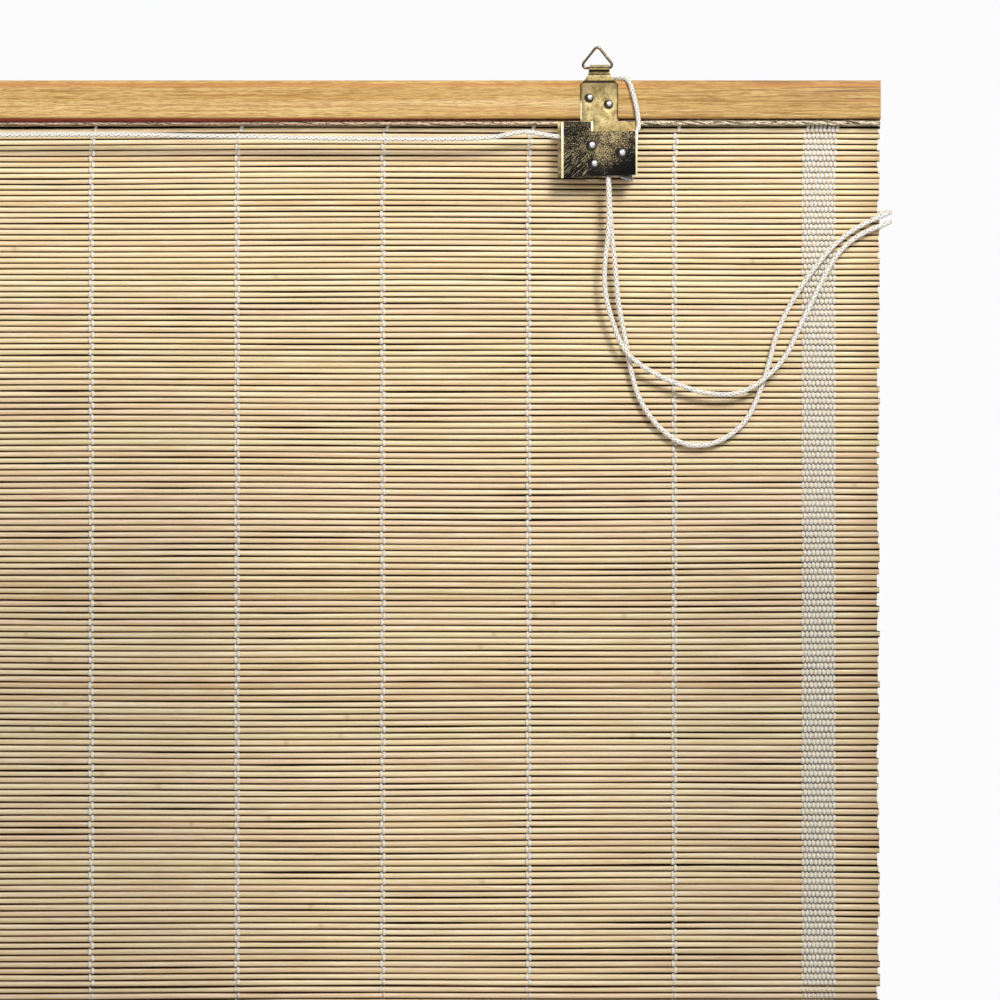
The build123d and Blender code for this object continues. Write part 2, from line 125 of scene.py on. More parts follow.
# The camera looks straight at the mat's upper right part, through a long lens.
VIEW_WIDTH = 466.6 * MM
VIEW_CENTRE = (122.7 * MM, -209.9 * MM)
CAMERA_AWAY = 4.0
SENSOR = 36.0

camera_data = bpy.data.cameras.new("camera")
camera_data.sensor_width = SENSOR
camera_data.lens = SENSOR * CAMERA_AWAY / VIEW_WIDTH
camera_data.clip_end = 50
camera = show("camera", camera_data)
camera.location = (VIEW_CENTRE[0], MAT_Y * MM - CAMERA_AWAY, VIEW_CENTRE[1])
camera.rotation_euler = (math.pi / 2, 0, 0)
bpy.context.scene.camera = camera


# ---------------------------------------------------------------- materials

FALLOFF_MIDDLE_X = 100.0  # painted shade: the mat is painted a little darker below and beside this place, where the light falls off
FALLOFF_FROM_Z, FALLOFF_BY_Z = -90.0, -260.0
FALLOFF_FROM_X, FALLOFF_BY_X = 60.0, 130.0  # to either side of the middle


class Shader:
    """A node material and short ways to add to it."""

    def __init__(self, name):
        self.material = bpy.data.materials.new(name)
        self.material.use_nodes = True
        self.tree = self.material.node_tree
        self.bsdf = self.tree.nodes["Principled BSDF"]

    def node(self, kind, inputs=(), **settings):
        """A new node with these inputs, each a value or another node's output."""
        made = self.tree.nodes.new("ShaderNode" + kind)
        for key, value in settings.items():
            setattr(made, key, value)
        for key, value in dict(inputs).items():
            self.put(made.inputs[key], value)
        return made

    def put(self, socket, value):
        if isinstance(value, bpy.types.NodeSocket):
            self.tree.links.new(value, socket)
        else:
            socket.default_value = value

    def set(self, **values):
        for key, value in values.items():
            self.put(self.bsdf.inputs[key.replace("_", " ")], value)

    def place(self, scale=(1, 1, 1), turn=(0, 0, 0), shift=None):
        """The object's own coordinates in millimetres, scaled."""
        coords = self.node("TexCoord").outputs["Object"]
        sizes = [s / MM for s in scale]
        vector = self.node("Mapping", {"Vector": coords, "Scale": sizes, "Rotation": turn}).outputs[0]
        if shift is not None:
            vector = self.node("VectorMath", {0: vector, 1: shift}, operation="ADD").outputs[0]
        return vector

    def noise(self, vector, scale=1.0, detail=4.0, roughness=0.55, shift=None):
        """Noise over a vector, or over the object's own coordinates where scales stand in its place."""
        if isinstance(vector, tuple):
            vector = self.place(vector, shift=shift)
        inputs = {"Vector": vector, "Scale": scale, "Detail": detail, "Roughness": roughness}
        return self.node("TexNoise", inputs).outputs["Fac"]

    def attribute(self, name):
        return self.node("Attribute", attribute_name=name).outputs["Fac"]

    def ramp(self, factor, *stops):
        """Stops are (position, colour or grey)."""
        made = self.node("ValToRGB", {"Fac": factor})
        elements = made.color_ramp.elements
        while len(elements) < len(stops):
            elements.new(1.0)
        for element, (position, colour) in zip(elements, stops):
            element.position = position
            element.color = colour if isinstance(colour, tuple) else (colour, colour, colour, 1)
        return made.outputs["Color"]

    def mix(self, factor, a, b, blend="MIX"):
        made = self.node("Mix", data_type="RGBA", blend_type=blend, clamp_result=True)
        self.put(made.inputs[0], factor)
        self.put(made.inputs[6], a)
        self.put(made.inputs[7], b)
        return made.outputs[2]

    def over(self, colour, factor, start, end, tint):
        """A tint over the colour, as the factor goes from start to end, each a (position, amount)."""
        return self.mix(self.ramp(factor, start, end), colour, tint)

    def maths(self, operation, a, b=0.0):
        return self.node("Math", {0: a, 1: b}, operation=operation).outputs[0]

    def times(self, a, b):
        return self.maths("MULTIPLY", a, b)

    def plus(self, a, b):
        return self.maths("ADD", a, b)

    def minus(self, a, b):
        return self.maths("SUBTRACT", a, b)

    def larger(self, a, b):
        return self.maths("MAXIMUM", a, b)

    def rising(self, value, start, end):
        """0 at the start value and before it, rising to 1 at the end value."""
        return self.node("MapRange", {"Value": value, "From Min": start, "From Max": end}).outputs[0]

    def falling(self, value):
        """1 less the value, and never below 0 or above 1."""
        return self.node("Math", {0: 1.0, 1: value}, operation="SUBTRACT", use_clamp=True).outputs[0]

    def axis(self, index):
        """One of the object's own coordinates, in millimetres."""
        return self.node("SeparateXYZ", {0: self.place()}).outputs[index]

    def slanted(self, along, across):
        """Coordinates for scratches that lean across the front, stretched along their length."""
        x, z = self.axis(0), self.axis(2)
        rise = self.times(self.plus(x, z), along)
        fall = self.times(self.minus(x, z), across)
        return self.node("CombineXYZ", {0: rise, 1: fall}).outputs[0]

    def band(self, value, low, high, soft):
        """1 between low and high, falling to 0 over the soft distance beyond them."""
        offset = self.maths("ABSOLUTE", self.minus(value, (low + high) / 2))
        beyond = self.maths("DIVIDE", self.minus(offset, (high - low) / 2), soft)
        return self.falling(beyond)

    def near(self, centre, radius, soft):
        """1 within a radius of a line along Y through the centre, falling to 0 over the soft distance."""
        flat = self.node("VectorMath", {0: self.place(), 1: (1, 0, 1)}, operation="MULTIPLY").outputs[0]
        place = (centre[0], 0, centre[1])
        gap = self.node("VectorMath", {0: flat, 1: place}, operation="DISTANCE").outputs["Value"]
        beyond = self.maths("DIVIDE", self.minus(gap, radius), soft)
        return self.falling(beyond)

    def painted_falloff(self, colour, tint):
        """The colour with painted shade, darker low down and out to the sides of the mat, where the light falls
        off.
        """
        down = self.rising(self.axis(2), FALLOFF_FROM_Z, FALLOFF_BY_Z)
        offset = self.maths("ABSOLUTE", self.minus(self.axis(0), FALLOFF_MIDDLE_X))
        aside = self.rising(offset, FALLOFF_FROM_X, FALLOFF_BY_X)
        amount = self.times(down, self.plus(self.times(aside, 0.5), 0.5))
        return self.mix(amount, colour, tint, blend="MULTIPLY")

    def bump(self, height, depth_mm, strength=1.0):
        made = self.node("Bump", {"Height": height, "Strength": strength, "Distance": depth_mm * MM})
        previous = self.bsdf.inputs["Normal"].links
        if previous:
            self.put(made.inputs["Normal"], previous[0].from_socket)
        self.put(self.bsdf.inputs["Normal"], made.outputs[0])


def rgb(red, green, blue):
    """A linear colour from 0 to 255 display values."""
    parts = [((c / 255 + 0.055) / 1.055) ** 2.4 if c > 10 else c / 255 / 12.92 for c in (red, green, blue)]
    return (*parts, 1.0)


def bamboo():
    """Split bamboo: a skin that differs from stick to stick, fibres and rings, with painted shade in the seams
    between sticks, on each stick's underside, and low down and to the sides where the light falls off.
    """
    s = Shader("bamboo")
    tone, tint, seam, ring, under = (s.attribute(n) for n in ("tone", "tint", "seam", "ring", "under"))
    slid = {0: s.times(tone, 300.0), 2: s.times(tint, 90.0)}
    shift = s.node("CombineXYZ", slid).outputs[0]
    skin = s.ramp(tint, (0.0, rgb(250, 232, 192)), (0.3, rgb(244, 222, 172)), (0.5, rgb(232, 220, 172)),
                  (0.68, rgb(244, 214, 180)), (0.9, rgb(236, 208, 162)), (1.0, rgb(220, 190, 142)))
    patches = s.noise((0.018, 0.05, 0.05), shift=shift, detail=3)
    skin = s.over(skin, patches, (0.45, 0.0), (0.72, 0.6), rgb(222, 190, 146))
    fibres = s.noise((0.05, 3.2, 3.2), shift=shift, detail=6, roughness=0.7)
    skin = s.over(skin, fibres, (0.42, 0.0), (0.75, 0.85), rgb(192, 158, 108))
    pale = s.noise((0.03, 1.1, 1.1), shift=shift, scale=1.7, detail=2)
    skin = s.over(skin, pale, (0.5, 0.0), (0.72, 0.6), rgb(250, 240, 212))
    skin = s.mix(s.times(ring, 0.35), skin, rgb(150, 112, 70))
    # painted shade: each stick's underside is tinted a darker tan
    skin = s.over(skin, under, (0.05, 0.0), (0.7, 0.5), rgb(206, 170, 106))
    # painted shade where the light falls off, low down and to the sides of the mat
    skin = s.painted_falloff(skin, rgb(222, 222, 226))
    # painted shade in the seams between sticks: brown at the sticks' edges, near black where they meet
    skin = s.over(skin, seam, (0.22, 0.0), (0.48, 0.9), rgb(124, 84, 46))
    shade = s.ramp(seam, (0.42, 0.0), (0.62, 1.0))
    skin = s.mix(shade, skin, rgb(36, 18, 6))
    s.set(Base_Color=skin, Roughness=s.ramp(fibres, (0.3, 0.38), (0.8, 0.6)))
    s.set(Specular_IOR_Level=s.minus(0.5, s.times(shade, 0.45)))
    s.bump(fibres, 0.12, 0.5)
    return s.material


def yarn():
    """Twisted off-white yarn, with painted shade along its twist's grooves, in the valleys where it dips
    between two sticks, and low down and to the sides where the light falls off.
    """
    s = Shader("warp_yarn")
    strands = s.node("TexWave", {"Vector": s.place((1, 0.6, 1), turn=(0, 0.75, 0)), "Scale": 0.42,
                                 "Distortion": 2.0, "Detail": 2.0, "Detail Scale": 1.5},
                     bands_direction="X").outputs["Fac"]
    fuzz = s.noise((2.5, 2.5, 2.5), detail=5, roughness=0.75)
    colour = s.mix(s.ramp(fuzz, (0.3, 0.0), (0.75, 1.0)), rgb(224, 218, 206), rgb(255, 250, 242))
    # painted shade along the twist's grooves
    colour = s.over(colour, strands, (0.0, 0.4), (0.3, 0.0), rgb(164, 153, 136))
    # painted shade in the valleys where the yarn dips between two sticks
    colour = s.over(colour, s.attribute("valley"), (0.22, 0.0), (0.7, 0.85), rgb(72, 60, 46))
    # painted shade where the light falls off, low down and to the sides of the mat
    colour = s.painted_falloff(colour, rgb(234, 236, 234))
    s.set(Base_Color=colour, Roughness=0.9, Sheen_Weight=0.1, Specular_IOR_Level=0.15)
    s.bump(strands, 0.12, 0.7)
    s.bump(fuzz, 0.1, 0.5)
    return s.material


def binding():
    """The strands under the rail. The part attribute is 0 on loose yarn, 0.4 on the red-brown strands painted
    as the rail's shadow, 0.6 on one thin pale edge and 1 on the near-black strands painted as shade in the
    gaps."""
    s = Shader("binding_yarn")
    place = s.rising(s.axis(0), -BLIND_HALF, BLIND_HALF)
    loose = s.ramp(place, (0.0, rgb(240, 212, 184)), (0.6, rgb(234, 206, 180)), (0.74, rgb(236, 214, 186)),
                   (0.79, rgb(242, 228, 200)), (1.0, rgb(240, 226, 198)))
    # the colour painted as the rail's shadow on the strands just under it: red-brown on the left, browner to
    # the right
    gap = s.ramp(place, (0.0, rgb(124, 50, 38)), (0.6, rgb(120, 50, 40)), (0.76, rgb(112, 68, 44)),
                 (0.82, rgb(90, 60, 44)), (1.0, rgb(90, 60, 44)))
    fuzz = s.noise((0.5, 1.6, 1.6), detail=3, roughness=0.7)
    loose = s.over(loose, fuzz, (0.4, 0.9), (0.5, 0.0), rgb(98, 80, 60))
    part = s.attribute("part")
    # red-brown strands painted as the rail's shadow
    colour = s.over(loose, part, (0.15, 0.0), (0.35, 1.0), gap)
    colour = s.over(colour, part, (0.45, 0.0), (0.55, 1.0), rgb(226, 206, 160))
    # near-black strands painted as shade in the gaps
    colour = s.over(colour, part, (0.75, 0.0), (0.9, 1.0), rgb(14, 9, 5))
    s.set(Base_Color=colour, Roughness=0.92, Specular_IOR_Level=0.05)
    s.bump(fuzz, 0.2, 0.8)
    return s.material


def cord_finish():
    """White braid, with painted shade in the grooves between its strands."""
    s = Shader("braided_cord")
    ridge = s.attribute("ridge")
    fuzz = s.noise((4, 4, 4), detail=4, roughness=0.7)
    colour = s.mix(s.ramp(fuzz, (0.3, 0.0), (0.7, 1.0)), rgb(230, 223, 212), rgb(250, 245, 236))
    # painted shade in the braid's grooves
    colour = s.over(colour, ridge, (0.12, 1.0), (0.56, 0.0), rgb(90, 74, 64))
    s.set(Base_Color=colour, Roughness=0.85, Sheen_Weight=0.2, Specular_IOR_Level=0.25)
    s.bump(fuzz, 0.08, 0.5)
    return s.material


# the painted shade on the rail's right end starts at the first and is full at the second
RAIL_DARKER_FROM_X, RAIL_DARKER_BY_X = 120.0, 260.0
STREAK_REACH = 6.0  # mm below the rail's top


def varnished_pine():
    """Honey-coloured lath with long grain, flecks and a reddish streak near its top, and painted shade towards
    its right end.
    """
    s = Shader("varnished_pine")
    grain = s.noise((0.011, 1.0, 0.9), detail=8, roughness=0.66)
    fine = s.noise((0.16, 3.0, 2.8), detail=5, roughness=0.75)
    wide = s.noise((0.006, 0.22, 0.25), detail=2)
    colour = s.ramp(grain, (0.3, rgb(158, 113, 50)), (0.43, rgb(198, 158, 91)), (0.55, rgb(218, 186, 119)),
                    (0.66, rgb(193, 152, 84)), (0.78, rgb(170, 128, 60)))
    colour = s.over(colour, fine, (0.38, 0.9), (0.54, 0.0), rgb(146, 102, 48))
    colour = s.over(colour, fine, (0.56, 0.0), (0.7, 0.45), rgb(232, 206, 142))
    colour = s.over(colour, wide, (0.45, 0.0), (0.7, 0.4), rgb(190, 142, 76))
    flecks = s.noise((0.3, 1.4, 1.4), scale=1.3, detail=4, roughness=0.7)
    colour = s.over(colour, flecks, (0.62, 0.0), (0.72, 0.7), rgb(140, 90, 42))
    # painted shade: darker towards the rail's right end, where the light falls off; the dark streaks added
    # there are grain
    right = s.rising(s.axis(0), RAIL_DARKER_FROM_X, RAIL_DARKER_BY_X)
    colour = s.mix(s.times(right, 0.2), colour, rgb(156, 120, 62))
    deep = s.noise((0.02, 1.1, 1.1), scale=1.3, detail=3, roughness=0.6)
    deep = s.times(right, s.ramp(deep, (0.5, 0.0), (0.62, 0.9)))
    colour = s.mix(deep, colour, rgb(134, 90, 42))
    depth = s.maths("DIVIDE", s.minus(RAIL_TOP_Z, s.axis(2)), STREAK_REACH)
    streak = s.ramp(depth, (0.18, 0.0), (0.3, 0.85), (0.42, 0.5), (0.62, 0.0))
    streak = s.times(streak, s.ramp(wide, (0.3, 0.3), (0.6, 1.0)))
    colour = s.mix(streak, colour, rgb(192, 120, 50))
    s.set(Base_Color=colour, Roughness=s.ramp(fine, (0.3, 0.35), (0.8, 0.5)))
    s.set(Coat_Weight=0.15, Coat_Roughness=0.3, Specular_IOR_Level=0.35)
    s.bump(fine, 0.08, 0.4)
    s.bump(grain, 0.15, 0.3)
    return s.material


RIVET_SHADE_R = 2.35  # painted shadow round the pins' heads, thicker to their lower left, away from the light
NAIL_SHADE_R = 2.05
SHADE_SHIFT = (0.3, 0.35)
NECK_CREASES = ((-1.2, 1.0), (2.6, 0.45), (4.1, 0.7), (5.6, 0.5))  # (height above the rail's top, width) of each painted shade line in the neck's creases


def old_brass(name, fitting, covered):
    """Mottled antique brass, its edges rubbed bright and painted with highlights where the edge attribute marks
    them.
    """
    s = Shader(name)
    mottle = s.noise((0.4, 0.4, 0.4), detail=3, roughness=0.6)
    fleck = s.noise((2.0, 2.0, 2.0), detail=3.5, roughness=0.75)
    x, z = s.axis(0), s.axis(2)
    low, high = limits(f"{fitting}_cover")
    if covered:
        colour, wear_and_glint = cover_finish(s, fitting, x, z, mottle, fleck, low, high)
    else:
        colour, wear_and_glint = plate_finish(s, fitting, x, z, mottle, fleck, low)
    for node, shade_r in ((f"{fitting}_rivets", RIVET_SHADE_R), (f"{fitting}_nails", NAIL_SHADE_R)):
        for pin_x, pin_z in pin_places[node]:
            # painted shadow of each pin's head on the plate or cover, shifted to its lower left
            shade = s.near((pin_x - SHADE_SHIFT[0], pin_z - SHADE_SHIFT[1]), shade_r, 0.35)
            colour = s.mix(s.times(shade, 0.92), colour, rgb(18, 13, 8))
    # edges rubbed bright, with painted highlights on them
    colour = s.mix(wear_and_glint, colour, rgb(250, 238, 196))
    rough = s.mix(wear_and_glint, s.ramp(mottle, (0.3, 0.6), (0.7, 0.42)), (0.35, 0.35, 0.35, 1))
    s.set(Base_Color=colour, Roughness=rough, Metallic=0.5, Specular_IOR_Level=0.2)
    s.bump(fleck, 0.1, 0.4)
    s.bump(mottle, 0.25, 0.3)
    return s.material


def cover_finish(s, fitting, x, z, mottle, fleck, low, high):
    """Nearly black with tan flecks, cleaner in the middle, with slanting scratches low on the left."""
    clean = s.near(((low[0] + high[0]) / 2 + 4.5, high[2] - 11), 4.0, 11.0)
    # darker towards the bottom
    darker_low = s.band(z, low[2] - 1, low[2] + 2.5, 6.0)
    level = s.plus(s.times(clean, 0.085), s.times(darker_low, -0.07))
    level = s.plus(level, s.times(s.minus(mottle, 0.5), 0.25))
    corner = s.near((high[0] - 5.5, low[2] + 6), 2.5, 7.0)
    level = s.minus(level, s.times(corner, 0.085))
    level = s.plus(s.minus(level, 0.056), fleck)
    colour = s.ramp(level, (0.44, rgb(6, 5, 4)), (0.49, rgb(26, 22, 17)), (0.53, rgb(104, 91, 64)),
                    (0.6, rgb(196, 176, 132)), (0.8, rgb(150, 132, 90)))
    scratch = s.noise(s.slanted(0.12, 1.9), detail=1)
    low_left = s.near((low[0] + 7, low[2] + 7), 4.0, 6.0)
    scratch = s.times(s.ramp(scratch, (0.6, 0.0), (0.66, 0.85)), low_left)
    colour = s.mix(scratch, colour, rgb(186, 172, 134))
    # bright bands on the cover's side edges, and beside its notch below: rubbed brass with painted highlights
    sides = [s.band(x, low[0] - 1, low[0] + 0.75, 0.45), s.band(x, high[0] - 0.6, high[0] + 1, 0.4)]
    wear_and_glint = s.larger(s.times(s.attribute("wear_and_glint"), 0.4), s.larger(*sides))
    if fitting == "lock":
        beside = s.band(x, NOTCH_X - 0.75, NOTCH_X + 1, 0.25)
        notch = s.times(beside, s.band(z, NOTCH_Z, -30, 0.3))
        wear_and_glint = s.larger(wear_and_glint, notch)
    return colour, s.times(wear_and_glint, s.ramp(mottle, (0.35, 0.75), (0.5, 1.0)))


def plate_finish(s, fitting, x, z, mottle, fleck, cover_low):
    """Olive gold, darker at the top and along its right edge, with painted shade in the creases where its neck
    is bent, and painted shadows along the tab's left edge and just under the cover.
    """
    centre_x = middle(f"{fitting}_ring")[0]
    colour = s.ramp(mottle, (0.34, rgb(150, 130, 80)), (0.5, rgb(190, 168, 114)), (0.66, rgb(214, 194, 142)))
    colour = s.over(colour, fleck, (0.36, 0.6), (0.46, 0.0), rgb(104, 86, 48))
    colour = s.over(colour, fleck, (0.56, 0.0), (0.66, 0.5), rgb(236, 218, 168))
    shoulder = s.band(z, RAIL_TOP_Z - 2.6, RAIL_TOP_Z - 1.2, 4.5)
    # painted shadow along the tab's left edge
    left = s.band(x, centre_x - TAB_HALF - 1, centre_x - TAB_HALF + 1.0, 2.5)
    dim = s.larger(s.times(shoulder, 0.55), s.times(left, 0.4))
    colour = s.mix(dim, colour, rgb(84, 72, 42))
    foot = s.band(x, centre_x + TAB_HALF, centre_x + TAB_HALF + 12, 2.0)
    colour = s.mix(s.times(foot, 0.4), colour, rgb(134, 106, 56))
    # painted shade in the creases where the neck is bent
    for above_rail, width in NECK_CREASES:
        start = RAIL_TOP_Z + above_rail
        dark_line = s.band(z, start, start + width, 0.25)
        colour = s.mix(s.times(dark_line, 0.92), colour, rgb(32, 21, 11))
    on_tab = s.band(z, TAB_FOOT_Z, RAIL_TOP_Z - 1.5, 0.3)
    right_edge = s.band(x, centre_x + TAB_HALF - 0.45, centre_x + TAB_HALF + 0.2, 0.25)
    left_edge = s.band(x, centre_x - TAB_HALF - 0.2, centre_x - TAB_HALF + 0.45, 0.25)
    upper = s.band(z, -23.0, RAIL_TOP_Z, 3.0)
    outline = s.larger(right_edge, s.times(left_edge, upper))
    colour = s.mix(s.times(s.times(outline, on_tab), 0.85), colour, rgb(44, 30, 16))
    # the lower left edge and the tongue: rubbed bright, with painted highlights
    lower = s.times(on_tab, s.minus(1.0, upper))
    bright = s.times(s.times(left_edge, lower), 0.9)
    # painted shadow of the cover's lower edge on the plate
    under_cover = s.band(z, cover_low[2] - 0.45, cover_low[2] + 0.4, 0.2)
    colour = s.mix(s.times(under_cover, 0.9), colour, rgb(28, 21, 13))
    tongue = s.band(z, -99, cover_low[2] - 0.6, 0.2)
    return colour, s.larger(bright, s.times(tongue, 0.8))


def polished(name, colour, dirt, roughness):
    """Smooth metal with smudges."""
    s = Shader(name)
    smudge = s.noise((0.9, 0.9, 0.9), detail=6, roughness=0.7)
    tinted = s.over(colour, smudge, (0.42, 0.7), (0.62, 0.0), dirt)
    rough = s.ramp(smudge, (0.3, roughness + 0.2), (0.7, roughness))
    s.set(Base_Color=tinted, Metallic=0.95, Roughness=rough)
    s.bump(smudge, 0.05, 0.3)
    return s.material


def pin_nickel(name, node, bright_r):
    """Domed heads with a painted highlight in the middle, shifted up to the right, and painted shade round
    their lower left.
    """
    s = Shader(name)
    shine = 0.0
    for pin_x, pin_z in pin_places[node]:
        # painted highlight on each head, shifted up and to the right
        shine = s.larger(shine, s.near((pin_x + 0.25, pin_z + 0.25), bright_r, 0.5))
    smudge = s.noise((1.4, 1.4, 1.4), detail=3)
    clean = s.mix(s.ramp(smudge, (0.4, 0.5), (0.55, 0.0)), rgb(250, 250, 252), rgb(190, 188, 186))
    s.set(Base_Color=s.mix(shine, rgb(84, 78, 70), clean), Metallic=0.75, Roughness=0.24)
    s.bump(smudge, 0.04, 0.3)
    return s.material


def pawl_steel():
    """Nearly black, with its edges rubbed bright and painted with highlights."""
    s = Shader("dark_steel")
    smudge = s.noise((1.2, 1.2, 1.2), detail=4, roughness=0.6)
    dark = s.ramp(smudge, (0.42, rgb(18, 18, 18)), (0.6, rgb(104, 104, 100)))
    s.set(Base_Color=s.mix(s.attribute("wear_and_glint"), dark, rgb(228, 228, 224)), Metallic=0.4, Roughness=0.35)
    return s.material


def plain_floor():
    """A pale floor, brightened where it is seen so that it stays pale far from the lights."""
    s = Shader("pale_floor")
    seen = s.times(s.node("LightPath").outputs["Is Camera Ray"], 0.3)
    s.set(Base_Color=rgb(236, 236, 238), Roughness=0.8, Emission_Color=(1, 1, 1, 1), Emission_Strength=seen)
    return s.material


BAMBOO = bamboo()
YARN = yarn()
BINDING = binding()
CORD = cord_finish()
PINE = varnished_pine()
PLATE_BRASS = {name: old_brass(f"{name}_plate_brass", name, False) for name in FITTINGS}
COVER_BRASS = {name: old_brass(f"{name}_cover_brass", name, True) for name in FITTINGS}
RIVET_NICKEL = {name: pin_nickel(f"{name}_rivet_nickel", f"{name}_rivets", 1.1) for name in FITTINGS}
NAIL_NICKEL = {name: pin_nickel(f"{name}_nail_nickel", f"{name}_nails", 0.95) for name in FITTINGS}
WIRE_BRASS = polished("wire_brass", rgb(154, 128, 100), rgb(32, 23, 16), 0.2)
WHEEL_BRASS = polished("wheel_brass", rgb(196, 160, 96), rgb(104, 80, 44), 0.3)
DARK_STEEL = pawl_steel()
STAPLE_WIRE = polished("staple_wire", rgb(190, 190, 190), rgb(120, 118, 116), 0.3)


# ---------------------------------------------------------------- meshes

def add(name, points, faces, material, attributes=(), smooth=True):
    """A mesh object from points in millimetres, with float attributes on its points."""
    mesh = bpy.data.meshes.new(name)
    mesh.from_pydata((np.asarray(points) * MM).tolist(), [], faces)
    for key, values in dict(attributes).items():
        mesh.attributes.new(key, "FLOAT", "POINT").data.foreach_set("value", np.asarray(values, np.float32))
    mesh.polygons.foreach_set("use_smooth", [smooth] * len(mesh.polygons))
    mesh.materials.append(material)
    mesh.update()
    return show(name, mesh)


class Tubes:
    """Closed tubes gathered into one mesh: each is a grid of rings x sides points."""

    def __init__(self):
        self.points, self.faces, self.values, self.count = [], [], {}, 0

    def add(self, grid, **values):
        rings, sides, _ = grid.shape
        start = self.count
        ends = grid[[0, -1]].mean(1)
        self.points += [grid.reshape(-1, 3), ends]
        self.count += rings * sides + 2
        index = start + np.arange(rings * sides).reshape(rings, sides)
        beside = np.roll(index, -1, axis=1)
        quads = np.stack([index[:-1], beside[:-1], beside[1:], index[1:]], -1).reshape(-1, 4)
        self.faces += quads.tolist()
        first, last = start + rings * sides, start + rings * sides + 1
        self.faces += [[first, int(b), int(a)] for a, b in zip(index[0], beside[0])]
        self.faces += [[last, int(a), int(b)] for a, b in zip(index[-1], beside[-1])]
        for key, value in values.items():
            value = np.broadcast_to(value, (rings, sides))
            self.values.setdefault(key, []).append(np.append(value.ravel(), value[[0, -1], 0]))

    def make(self, name, material, node, slot, body="root"):
        """The tubes as one piece, which stands for a CAD node and rides on a body."""
        values = {key: np.concatenate(parts) for key, parts in self.values.items()}
        piece = add(name, np.concatenate(self.points), self.faces, material, values)
        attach(piece, body)
        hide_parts(node)
        return piece


def around(sides):
    """Evenly spaced angles round a tube."""
    return np.linspace(0, 2 * math.pi, sides, endpoint=False)


def rings_across(a, b, angle):
    """Circles in the plane of two vectors, for each point of a line."""
    return np.cos(angle)[None, :, None] * a[:, None] + np.sin(angle)[None, :, None] * b[:, None]


def point_grid(x, y, z):
    """A grid of rings x sides points, from coordinates that may be the same along it or round it."""
    return np.stack(np.broadcast_arrays(x, y, z), -1)


def smooth_noise(x, count, step):
    """count rows of smooth random waves along x, from -1 to 1, with features about step long."""
    knots = np.arange(x.min() - step, x.max() + 2 * step, step)
    rows = rng.uniform(-1, 1, (count, len(knots)))
    place = (x - knots[0]) / step
    left = np.floor(place).astype(int)
    part = place - left
    part = part * part * (3 - 2 * part)
    return rows[:, left] * (1 - part) + rows[:, left + 1] * part


# ---------------------------------------------------------------- cords

def spline_points(name, route):
    """The line of a smooth NURBS curve through a route's control points, in metres."""
    curve = bpy.data.curves.new(name, "CURVE")
    curve.dimensions = "3D"
    curve.resolution_u = 12
    spline = curve.splines.new("NURBS")
    spline.points.add(len(route) - 1)
    for point, place in zip(spline.points, route):
        point.co = (*[c * MM for c in place], 1)
    spline.order_u = 3
    spline.use_endpoint_u = True
    bare = bpy.data.objects.new(name, curve)
    line_mesh = bpy.data.meshes.new_from_object(bare)
    line = np.array([v.co for v in line_mesh.vertices])
    bpy.data.objects.remove(bare)
    bpy.data.curves.remove(curve)
    bpy.data.meshes.remove(line_mesh)
    return line


def run_along(line):
    """How far along a line each of its points is."""
    return np.concatenate([[0], np.cumsum(np.linalg.norm(np.diff(line, axis=0), axis=1))])


def even(line, step):
    """The same line, in metres, with its points step millimetres apart."""
    along = run_along(line)
    at = np.linspace(0, along[-1], max(3, int(along[-1] / (step * MM))))
    return np.stack([np.interp(at, along, line[:, k]) for k in range(3)], 1)


def frames(line):
    """Two unit vectors across a line at each of its points, without twist."""
    tangents = np.gradient(line, axis=0)
    tangents /= np.linalg.norm(tangents, axis=1)[:, None]
    across = np.cross(tangents[0], (0.3, 1, 0.2))
    sides = []
    for tangent in tangents:
        across = across - tangent * np.dot(across, tangent)
        across = across / np.linalg.norm(across)
        sides.append(across)
    sides = np.array(sides)
    return sides, np.cross(tangents, sides)


BRAID_ROW = 1.15  # mm from one row of strands to the next
BRAID_STRANDS = 4
CORD_STEP = 0.36  # mm between the rings of points of a cord that is seen
CORD_SIDES = 14
HIDDEN_STEP = 2.0  # the same for the cords behind the mat
HIDDEN_SIDES = 8
KNOT_SIDES = 12
TAIL_STEP = 0.35


def braid(tubes, line, sides):
    """A braided tube along a line in metres: staggered bumps where the strands pass over each other."""
    a, b = frames(line)
    along = run_along(line) / MM
    angle = around(sides)
    bump = np.cos(BRAID_STRANDS * angle[None] + 0.25) * np.cos(math.pi * along[:, None] / BRAID_ROW)
    slant = np.cos(BRAID_STRANDS * angle[None] + 2 * math.pi * along[:, None] / (4 * BRAID_ROW))
    ridge = 0.5 + 0.36 * bump + 0.14 * slant
    radius = CORD_D / 2 * (0.88 + 0.26 * ridge)
    tubes.add(line[:, None] / MM + radius[..., None] * rings_across(a, b, angle), ridge=ridge)


def cord_piece(name, node, line, step, sides):
    """A cord's piece along a line in metres, and the evenly spaced line that it follows."""
    fine = even(line, step)
    tubes = Tubes()
    braid(tubes, fine, sides)
    return tubes.make(name, CORD, node, "braided_cord"), fine


